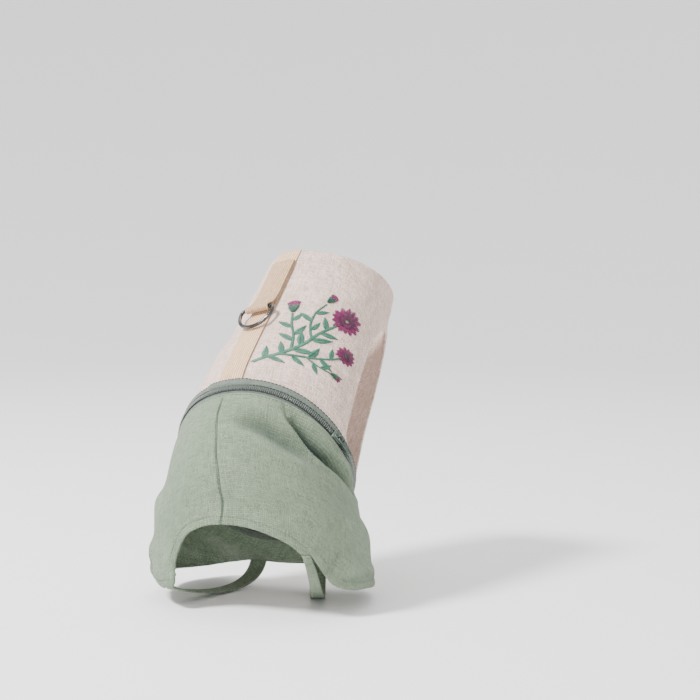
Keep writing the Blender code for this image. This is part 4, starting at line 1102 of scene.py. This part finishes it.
# the tape's height over the vest: it climbs over the webbing at the back
def tapeLift(angle, share):
    middle = vestSurface(share, np.full_like(angle, strap["angle"]))
    away = np.linalg.norm(vestSurface(share, angle) - middle, axis=1)
    over = 1 - ramp(away, strap["width"] / 2 + chain["climb"] / 2, strap["width"] / 2 + chain["climb"] * 1.5)
    return wall["gap"] + over * (strapLook["lift"] + strapLook["wall"])


# A thin band beside the teeth. Rows: distance from the teeth's middle, share of the base, height.
def buildTape(name, surface, rows, base, thickness, flip, node):
    angle = np.linspace(-180, 180, 720, endpoint=False)
    lines = []
    for distance, follow, height in rows:
        share = shareAt(surface, angle, distance)
        lines.append(lifted(surface, share, angle, base(angle, share) * follow + height))
    points = np.array(lines)
    band = gridObject(name, points, gridUv(points, True), True, flip)
    thickened(band, thickness, 1)
    finished(band, tape, bodyName, (node,))


chainHalf = chain["width"] / 2
tapeTop = chainHalf + chain["shown"]
tapeStep = 0.0011  # from the chain's edge to where the tape is flat
# share of the flat tape's width, and the rise there
flatRise = ((0, 0.0), (0.2, 0.0), (0.4, 0.0), (0.6, 0.00006), (0.8, 0.00012), (0.93, 0.00006), (1, -0.0002))
upperRows = [(chainHalf - 0.0004, 0, -0.0011), (chainHalf, 0, -0.0010), (chainHalf + 0.0003, 0.1, -0.0008),
             (chainHalf + 0.0007, 0.6, -0.0002)]
upperRows += [(chainHalf + tapeStep + (tapeTop - chainHalf - tapeStep) * k, 1, rise) for k, rise in flatRise]
buildTape("zip_tape_upper_cloth", vestSurface, upperRows, tapeLift, wall["tape"], True, "zip_tape_upper")
sunk = wall["cloth"] + chain["room"] + wall["tape"]
foldTop = chainHalf + chain["bare"]
lowerRows = ((chainHalf - 0.0004, 0, -0.0011), (chainHalf, 0, -0.0010), (chainHalf + 0.0004, 0, -0.00095),
             (chainHalf + tapeStep, 0, -0.0011), (chainHalf + 0.0018, 0, -0.0016), (foldTop, 0, -0.0024),
             (foldTop + chain["hidden"], 0, -sunk))
buildTape("zip_tape_lower_cloth", seatSurface, lowerRows, tapeLift, wall["tape"], False, "zip_tape_lower")


# two rows of moulded teeth that meet in the middle, over a dark core
def buildTeeth():
    line = resampled(chainLine, zipLook["pitch"], True, chainOut)
    place, out = line[:, :3], unit(line[:, 3:])
    up = np.cross(out, alongClosed(place))
    up *= np.sign(up[:, 2:3].mean())
    side = np.where(np.arange(len(place)) % 2 == 0, 1.0, -1.0)[:, None]
    reach = np.array([-0.92, -0.45, 0.1, 0.6, 1.0, 1.15])
    lift = np.array([0.45, 0.95, 1.1, 1.0, 0.6, -0.3])
    thick = np.array([0.8, 1.15, 1.0, 1.0, 0.95, 0.7])
    paths = (place[:, None] + up[:, None] * side[:, None] * reach[None, :, None] * zipLook["tooth"]
             + out[:, None] * lift[None, :, None] * zipLook["height"])
    teeth = tubes("zip_teeth", paths, thick * zipLook["width"], 6, 1.3, out)
    finished(teeth, toothPlastic, bodyName, ("zip_chain",))
    rows = []
    for reachUp, rise in ((-1, -0.3), (-0.5, 0.05), (0, 0.1), (0.5, 0.05), (1, -0.3)):
        rows.append(place + up * reachUp * chain["width"] / 2 + out * rise * chain["wall"] / 2)
    core = gridObject("zip_core", np.array(rows), gridUv(np.array(rows), True), True, True)
    thickened(core, 0.0005, -1)
    finished(core, tapeThread, bodyName, ())
    for name, reachUp, rise in (("lower", -1.22, 0.00005), ("upper", 1.24, 0.00055)):
        path = place + up * reachUp * chain["width"] / 2 + out * rise
        stitches("zip_stitches_" + name, path, out, zipStitch, tapeThread, bodyName)


buildTeeth()
# painted shadow: a row of near-black thread along the upper tape's top edge stands for the shadow line there
edgeAngle = np.linspace(-180, 180, 720, endpoint=False)
edgeShare = shareAt(vestSurface, edgeAngle, tapeTop + 0.0003)
tapeShadowLine = lifted(vestSurface, edgeShare, edgeAngle, tapeLift(edgeAngle, edgeShare) + wall["tape"] * 0.35)
stitches("tape_edge_shadow", tapeShadowLine, outward(vestSurface, edgeShare, edgeAngle), tapeShadowStitch, tapeThread, bodyName)
print("zip made")


# Slider and pull
joints = {joint["name"]: joint for joint in frame["record"]["behaviour"]["joints"]}
sliderShape = {"angle": -77.0, "length": 0.0085, "width": 0.0068, "wall": 0.0012, "nose": 0.72,
               "ahead": 0.0012, "bridgeWidth": 0.0016, "bridgeWall": 0.0009}
pullShape = {"length": 0.0150, "width": 0.0046, "wall": 0.0011, "rail": 0.0011, "droop": 6.0}
sliderAngle = np.array([sliderShape["angle"]])
sliderFoot = vestSurface(np.zeros(1), sliderAngle)[0]
sliderForward = (vestSurface(np.zeros(1), sliderAngle - 0.5) - vestSurface(np.zeros(1), sliderAngle + 0.5))[0]
sliderForward /= np.linalg.norm(sliderForward)
sliderOut = outward(vestSurface, np.zeros(1), sliderAngle)[0]
sliderOut = sliderOut + outward(seatSurface, np.zeros(1), sliderAngle)[0]
sliderOut -= sliderForward * sliderOut.dot(sliderForward)
sliderOut /= np.linalg.norm(sliderOut)
sliderUp = np.cross(sliderOut, sliderForward)
opening = math.hypot(pullShape["rail"], pullShape["wall"]) + 2 * wall["gap"]
pullOrigin = np.array(joints["zip_pull_hinge"]["pos_m"])
plateTop = (pullOrigin - sliderFoot).dot(sliderOut) - opening / 2


# a flat plate with rounded edges, from its outline and holes, stood in a frame of three axes
def plate(name, outlines, thickness, rounding, axes, origin):
    flat = bpy.data.curves.new(name, "CURVE")
    flat.dimensions = "2D"
    flat.fill_mode = "BOTH"
    flat.extrude = thickness / 2 - rounding
    flat.bevel_depth = rounding
    flat.bevel_resolution = 2
    flat.offset = -rounding
    for outline in outlines:
        spline = flat.splines.new("POLY")
        spline.points.add(len(outline) - 1)
        for point, (x, y) in zip(spline.points, outline):
            point.co = (x, y, 0, 1)
        spline.use_cyclic_u = True
    guide = bpy.data.objects.new(name + "_guide", flat)
    bpy.context.scene.collection.objects.link(guide)
    made = bpy.data.meshes.new_from_object(guide.evaluated_get(bpy.context.evaluated_depsgraph_get()))
    bpy.data.objects.remove(guide)
    for vert in made.vertices:
        x, y, z = vert.co
        vert.co = Vector(origin + axes[0] * x + axes[1] * y + axes[2] * z)
    made.shade_smooth()
    made.set_sharp_from_angle(angle=math.radians(50))
    return bpy.data.objects.new(name, made)


# an outline with its corners rounded by cutting them twice
def smoothOutline(corners):
    points = np.array(corners, float)
    for _ in range(2):
        following = np.roll(points, -1, 0)
        points = np.stack([points * 0.8 + following * 0.2, points * 0.2 + following * 0.8], 1).reshape(-1, 2)
    return points.tolist()


def buildSlider():
    half, wide, thick = sliderShape["length"] / 2, sliderShape["width"] / 2, sliderShape["wall"]
    nose = wide * sliderShape["nose"]
    axes = (sliderForward, sliderUp, sliderOut)
    outline = smoothOutline([(-half, -wide * 0.8), (-half * 0.72, -wide), (half * 0.1, -wide * 0.97),
                             (half * 0.8, -nose), (half, -nose * 0.7), (half * 0.86, 0), (half, nose * 0.7),
                             (half * 0.8, nose), (half * 0.1, wide * 0.97), (-half * 0.72, wide),
                             (-half, wide * 0.8)])
    centre = sliderFoot + sliderOut * (plateTop - thick / 2)
    body = plate("zip_slider_body", [outline], thick, 0.0003, axes, centre)
    finished(body, sliderPaint, bodyName, ("zip_slider",))
    inner = [(x * 0.74, y * 0.66) for x, y in outline]
    centre = sliderFoot + sliderOut * (plateTop + 0.00005)
    crown = plate("zip_slider_crown", [inner], 0.0005, 0.0002, axes, centre)
    finished(crown, sliderPaint, bodyName, ())
    for name, sign in (("upper", 1), ("lower", -1)):
        rail = [(-half * 0.9, sign * wide * 0.70), (half * 0.05, sign * wide * 0.76),
                (half * 0.8, sign * nose * 0.72), (half * 0.8, sign * nose * 0.98),
                (half * 0.05, sign * wide * 0.97), (-half * 0.85, sign * wide * 0.97)]
        skirt = plate("zip_slider_skirt_" + name, [smoothOutline(rail)], 0.0012, 0.0002, axes,
                      sliderFoot + sliderOut * (plateTop - thick - 0.0001))
        finished(skirt, sliderPaint, bodyName, ())
    reach = opening / 2 + sliderShape["bridgeWall"] / 2
    turn = np.linspace(0, math.pi, 22)
    x = sliderShape["ahead"] + reach * np.sign(np.cos(turn)) * np.abs(np.cos(turn)) ** 0.7
    rise = (opening + sliderShape["bridgeWall"] / 2) * np.sin(turn) ** 0.55 - 0.0003 * (np.sin(turn) < 0.01)
    path = sliderFoot + x[:, None] * sliderForward + (plateTop + rise[:, None]) * sliderOut
    bridge = tubes("zip_slider_bridge", path[None], np.full((1, 22), sliderShape["bridgeWidth"] / 2), 12,
                   sliderShape["bridgeWall"] / sliderShape["bridgeWidth"], np.array([[0.0, 0.0, 1.0]]))
    finished(bridge, sliderPaint, bodyName, ())


def buildPull():
    half, rail, length = pullShape["width"] / 2, pullShape["rail"], pullShape["length"]
    window = opening + 2 * sliderShape["bridgeWall"]
    droop = math.radians(pullShape["droop"])
    lie = sliderForward * math.cos(droop) - sliderOut * math.sin(droop)
    face = np.cross(lie, sliderUp)
    axes = (lie, sliderUp, face * np.sign(face.dot(sliderOut)))
    outline = smoothOutline([(-rail / 2, -half * 0.8), (0.3 * rail, -half), (length * 0.8, -half),
                             (length, -half * 0.55), (length, half * 0.55), (length * 0.8, half),
                             (0.3 * rail, half), (-rail / 2, half * 0.8)])
    hole = smoothOutline([(rail / 2, rail - half), (window, rail - half), (window, half - rail),
                          (rail / 2, half - rail)])
    tab = plate("zip_pull_tab", [outline, hole], pullShape["wall"], 0.00032, axes, pullOrigin)
    finished(tab, pullMetal, pullBody, ("zip_pull",))
    for k in range(4):
        x = length * (0.50 + 0.11 * k)
        bar = smoothOutline([(x, -half * 0.62), (x + 0.0007, -half * 0.62), (x + 0.0007, half * 0.62),
                             (x, half * 0.62)])
        centre = pullOrigin + axes[2] * pullShape["wall"] / 2
        ridge = plate("zip_pull_ridge_%d" % k, [bar], 0.0004, 0.00015, axes, centre)
        finished(ridge, pullMetal, pullBody, ())


buildSlider()
buildPull()
print("slider and pull made")

# Trousers
seatLook = {"fine": 3, "rows": 120, "crowding": 1.15, "hem": 0.0062, "hemHeight": 0.0004, "seam": 0.022,
            "bulge": 0.0042, "rise": 0.0002, "darkest": 0.0095, "stripRows": 40,
            "pucker": 0.00016, "puckers": 1300}
# waves round the trousers, waves down them, phase, height
seatWaves = ((3, 5, 0.3, 0.0005), (5, -9, 2.0, 0.00035), (9, 13, 4.0, 0.00022), (2, 21, 1.0, 0.0002))
# share, then the seam's angle there
seamLine = ((0.0, 0.022, 0.075, 0.143, 0.268, 0.45, 0.603), (2.0, 2.2, 3.0, 1.0, 0.2, 0.5, 1.2))


# the main folds, as in the solids
def foldHeight(points):
    height = np.zeros(points.shape[:-1])
    steps = np.linspace(0, 1, 49)
    for a0, s0, a1, s1, a2, s2, tall, half in seatFolds:
        path = smoothRows(((0, a0, s0), (0.5, a1, s1), (1, a2, s2)), steps)
        line = seatSurface(path[:, 1], path[:, 0])
        gap = np.linalg.norm(points[..., None, :] - line, axis=-1)
        taper = np.sin(math.pi * np.clip(steps[gap.argmin(axis=-1)], 0.06, 0.94)) ** 0.6
        height = height + tall * seat["depth"] * taper * bell(gap.min(axis=-1), 0, half * seat["depth"])
    return height


# each crease drops steeply on one side, under a lip, and comes back gently on the other; deep in it the cloth
# also gets painted shade
def creaseHeight(points):
    shade = np.zeros(points.shape[:-1])
    height, shift = np.zeros(points.shape[:-1]), np.zeros(points.shape)
    for places, deep, steep, wide, tuck, level in creases:
        rows = [(i, *place) for i, place in enumerate(places)]
        path = smoothRows(rows, np.linspace(0, len(places) - 1, 90))
        line = seatSurface(path[:, 1], path[:, 0])
        tangent = unit(np.gradient(line, axis=0))
        aside = np.cross(outward(seatSurface, path[:, 1], path[:, 0]), tangent)
        flat = points.reshape(-1, 3)
        gap = np.linalg.norm(flat[:, None] - line[None], axis=2)
        nearest = gap.argmin(axis=1)
        reach = gap.min(axis=1) * np.sign(((flat - line[nearest]) * aside[nearest]).sum(axis=1))
        taper = np.sin(math.pi * np.clip((nearest + 0.5) / 90, 0.03, 0.97)) ** 0.7
        flatPart = level * taper * (0.5 + nearest / 90)
        dip = np.where(reach > 0, bell(np.maximum(reach - flatPart, 0), 0, wide), bell(reach, 0, steep))
        lip = 0.08 * bell(reach, -2.4 * steep, 1.8 * steep)
        lip = lip + 0.20 * bell(reach, level + 1.8 * wide, 0.8 * wide)
        height = height + (deep * taper * (lip - dip)).reshape(height.shape)
        # painted shade, darkest where the crease is deepest
        shade = shade + (deep / seatLook["darkest"] * taper * dip).reshape(shade.shape)
        over = tuck * taper * bell(reach, -1.8 * steep, 2.2 * steep)
        shift = shift + (aside[nearest] * over[:, None]).reshape(shift.shape)
    return height, shift, np.clip(shade, 0, 1)


# the cuffs swell above their hems
def cuffHeight(share, angle):
    swell = ramp(share, 0.74, 0.82) * (1 - 0.45 * bell(share, 0.88, 0.022))
    swell = swell * (1 - 0.6 * ramp(share, 0.94, 1.02))
    return 0.055 * seat["depth"] * bell(np.abs(angle), 80, 34) * swell


# rows of seatEdge, in fractions, for the trousers' columns: closer beside the seam
def seatKeys():
    keys = []
    for i, row in enumerate(seatEdge):
        cells = row[3] * seatLook["fine"]
        keys += [i + k / cells for k in range(cells)]
    middle = [row[0] for row in seatEdge].index(0.0)
    seam = [middle + k for k in (-0.06, -0.03, -0.012, 0.012, 0.03, 0.06)]
    return np.array(sorted(keys + seam))


def buildTrousers():
    keys = seatKeys()
    edge = smoothRows([(i, *row[:3]) for i, row in enumerate(seatEdge)], keys)
    angleLow, shareLow, angleHigh = edge.T
    shareHigh = shareAt(seatSurface, angleHigh, foldTop)
    shareClear = shareAt(seatSurface, angleHigh, foldTop + chain["hidden"])
    shareDeep = shareAt(seatSurface, angleHigh, foldTop + chain["hidden"] + chain["foldRun"])
    v = (np.linspace(0, 1, seatLook["rows"] + 1) ** seatLook["crowding"])[:, None]
    angle = angleHigh + (angleLow - angleHigh) * v * v
    share = shareHigh + (shareLow - shareHigh) * v
    angle = angle + np.interp(share, *seamLine) * bell(angle, 0, 14)
    flatPoints = lifted(seatSurface, share, angle, 0.0)
    height = foldHeight(flatPoints)
    inward = ramp(share, shareClear[None], shareDeep[None])
    height = height * np.where(height < 0, inward, ramp(share, shareHigh[None], shareClear[None]))
    dips, shift, shade = creaseHeight(flatPoints)
    height = height + dips * ramp(share, shareHigh[None], shareClear[None])
    leftCuff = seatLook["bulge"] * bell(angle, 88, 26) * bell(share, 0.90, 0.085)
    height = height + cuffHeight(share, angle) + leftCuff
    hem = flatPoints[-1]
    away = gapTo(flatPoints, resampled(hem, 0.0012, True))
    calm = ramp(share, shareDeep[None], shareDeep[None] + 0.1)
    height = height + calm * wave(np.radians(angle), share, seatWaves)
    height = height + seatLook["hemHeight"] * (1 - ramp(away, seatLook["hem"], seatLook["hem"] + 0.0012))
    height = height - 0.0003 * bell(away, seatLook["hem"] - 0.001, 0.0008)
    height = height - 0.0004 * (1 - ramp(away, 0, 0.0013))
    run = np.cumsum(np.linalg.norm(np.roll(flatPoints, -1, 1) - flatPoints, axis=2), axis=1)
    pucker = seatLook["pucker"] * np.sin(run * seatLook["puckers"])
    height = height + pucker * bell(away, seatLook["hem"] - 0.001, 0.003)
    seamAway = np.abs(angle - np.interp(share, *seamLine)) * math.pi / 180 * seat["half"] * 0.95
    below = ramp(share, seatLook["seam"], seatLook["seam"] + 0.02)
    height = height - below * 0.0013 * bell(seamAway, 0, 0.00045)
    height = height + below * 0.00025 * bell(seamAway, 0.0014, 0.0009)
    normal = outward(seatSurface, share.ravel(), angle.ravel()).reshape(flatPoints.shape)
    cloth = flatPoints + normal * height[..., None] + shift
    return keys, cloth, gridUv(flatPoints, True), away, angleLow, shareLow, shade


# each inner-leg strip as a grid: along it, and across it
def stripLines(hem, keys, angleLow, shareLow):
    made = []
    for rearRow, frontRow in strips["rows"]:
        cells = seatEdge[rearRow][3] * seatLook["fine"]
        rear = [int(np.abs(keys - (rearRow + k / cells)).argmin()) for k in range(cells + 1)]
        front = [int(np.abs(keys - (frontRow + (cells - k) / cells)).argmin()) for k in range(cells + 1)]
        a, b = hem[rear], hem[front]
        under = np.minimum(shareLow[rear] + strips["run"], 1)
        near = seatSurface(under, angleLow[rear] * strips["spread"])
        far = a + (b - a) * strips["lead"]
        k = strips["lowest"]
        held = (1 - k) ** 3 * a[:, 2] + 3 * (1 - k) ** 2 * k * near[:, 2] + k**3 * b[:, 2]
        far[:, 2] = (-seat["floor"] - held) / (3 * (1 - k) * k**2)
        u = np.linspace(0, 1, seatLook["stripRows"] + 1)[:, None, None]
        made.append((1 - u) ** 3 * a + 3 * (1 - u) ** 2 * u * near + 3 * (1 - u) * u**2 * far + u**3 * b)
    return made


keys, seatCloth, seatUv, seatAway, angleLow, shareLow, seatShade = buildTrousers()
trousers = gridObject("trousers_cloth", seatCloth, seatUv, True)
# the creases' painted shade, kept on the cloth's points
creaseShadeLayer = trousers.data.attributes.new("creaseShade", "FLOAT", "POINT")
creaseShadeLayer.data.foreach_set("value", seatShade.ravel().astype(np.float32))
thickened(trousers, wall["cloth"], -1)
finished(trousers, sage, bodyName, ("trousers_shell",))
for name, grid in zip(("right", "left"), stripLines(seatCloth[-1], keys, angleLow, shareLow)):
    normal = unit(np.cross(np.gradient(grid, axis=0), np.gradient(grid, axis=1)))
    down = normal if normal[len(normal) // 2, 0, 2] < 0 else -normal
    strip = gridObject("leg_strip_" + name, grid + down * 0.00003, gridUv(grid, False), False)
    thickened(strip, wall["cloth"], 0)
    finished(strip, sage, bodyName, ())


# where each column, from the hem up, first gets this far from the hem: a row as a fraction
def crossings(away, distance):
    rows = []
    for c in range(away.shape[1]):
        column = away[::-1, c]
        i = int(np.argmax(column > distance))
        k = (distance - column[i - 1]) / (column[i] - column[i - 1])
        rows.append(away.shape[0] - 1 - (i - 1 + k))
    return np.array(rows)


def atRows(grid, rows):
    i = np.clip(rows.astype(int), 0, grid.shape[0] - 2)
    k = (rows - i)[:, None]
    c = np.arange(grid.shape[1])
    return grid[i, c] * (1 - k) + grid[i + 1, c] * k


seatNormal = unit(np.cross(np.gradient(seatCloth, axis=1), np.gradient(seatCloth, axis=0)))
seatNormal *= np.sign((seatNormal * seatCloth).sum(axis=2).mean())
for name, rows in (("hem_stitches", crossings(seatAway, seatLook["hem"] - 0.001)),
                   ("waist_stitches", np.full(seatCloth.shape[1], 2.2))):
    stitches(name, atRows(seatCloth, rows), atRows(seatNormal, rows), stitchLook, sageThread, bodyName)
# the seam and its groove are real; its continuous dark line is painted shadow, laid as a dark thread in the
# groove
seamShare = np.linspace(0.012, 0.600, 300)
seamAngle = np.interp(seamShare, *seamLine) - 3.4 * (1 - ramp(seamShare, 0.012, 0.024))
seamOut = outward(seatSurface, seamShare, seamAngle)
seamLift = -0.0004 + seatLook["rise"] * ramp(seamShare, 0.52, 0.58)
seamPath = lifted(seatSurface, seamShare, seamAngle, 0.0) + seamOut * seamLift[:, None]
stitches("seam_shadow_thread", seamPath, seamOut, seamShadowStitch, sageThread, bodyName, False)
print("trousers made")


# Stage
stageLook = {"floor": -0.0900, "flat": 1.6, "reach": 4.2, "rise": 3.4, "world": 1.2}
rim = np.linspace(0, 1, 40) * math.pi / 2
curved = stageLook["flat"] + (stageLook["reach"] - stageLook["flat"]) * np.sin(rim)
radii = np.concatenate([[0.0, 0.2, 0.6, 1.1], curved])[:, None]
heights = np.concatenate([np.zeros(4), stageLook["rise"] * (1 - np.cos(rim))])[:, None] + stageLook["floor"]
turn = np.linspace(0, 2 * math.pi, 96, endpoint=False)
bowl = np.stack(np.broadcast_arrays(radii * np.cos(turn), radii * np.sin(turn), heights), 2)
floorRows, floorColumns = gridFaces(len(radii), 96, True)
floor = meshObject("floor", bowl.reshape(-1, 3), (floorRows * 96 + floorColumns % 96).tolist())
floorPaint, floorTree, floorShader = newMaterial("floor", 0.7)
floorPlace = floorTree.nodes.new("ShaderNodeTexCoord").outputs["Object"]
pale = mixed(floorTree, noise(floorTree, floorPlace, 3.0), (0.90, 0.90, 0.90), (0.92, 0.92, 0.92))
feed(floorTree, floorShader.inputs["Base Color"], pale)
floor.data.materials.append(floorPaint)
bpy.context.scene.collection.objects.link(floor)

world = bpy.data.worlds.new("studio")
world.use_nodes = True
world.node_tree.nodes["Background"].inputs["Color"].default_value = (1, 1, 1, 1)
world.node_tree.nodes["Background"].inputs["Strength"].default_value = stageLook["world"]
bpy.context.scene.world = world


def softLight(name, place, size, power, aim=(0, 0, 0.02)):
    lamp = bpy.data.lights.new(name, "AREA")
    lamp.shape = "DISK"
    lamp.size = size
    lamp.energy = power
    made = bpy.data.objects.new(name, lamp)
    made.location = place
    made.rotation_euler = (Vector(place) - Vector(aim)).to_track_quat("Z", "Y").to_euler()
    bpy.context.scene.collection.objects.link(made)


softLight("key", (0.84, 0.92, 1.50), 0.42, 80)
softLight("top", (0.1, -0.5, 1.7), 1.2, 12)

# Camera, at the photograph's angle
cameraData = bpy.data.cameras.new("camera")
cameraData.lens = 85
cameraData.sensor_width = 36
camera = bpy.data.objects.new("camera", cameraData)
target = Vector((-0.04996, -0.02771, 0.07672))
back = Vector((-0.377, 0.922, 0.088)).normalized()
camera.location = target + back * 1.107
camera.rotation_euler = back.to_track_quat("Z", "Y").to_euler()
bpy.context.scene.collection.objects.link(camera)
bpy.context.scene.camera = camera

print("stage made")
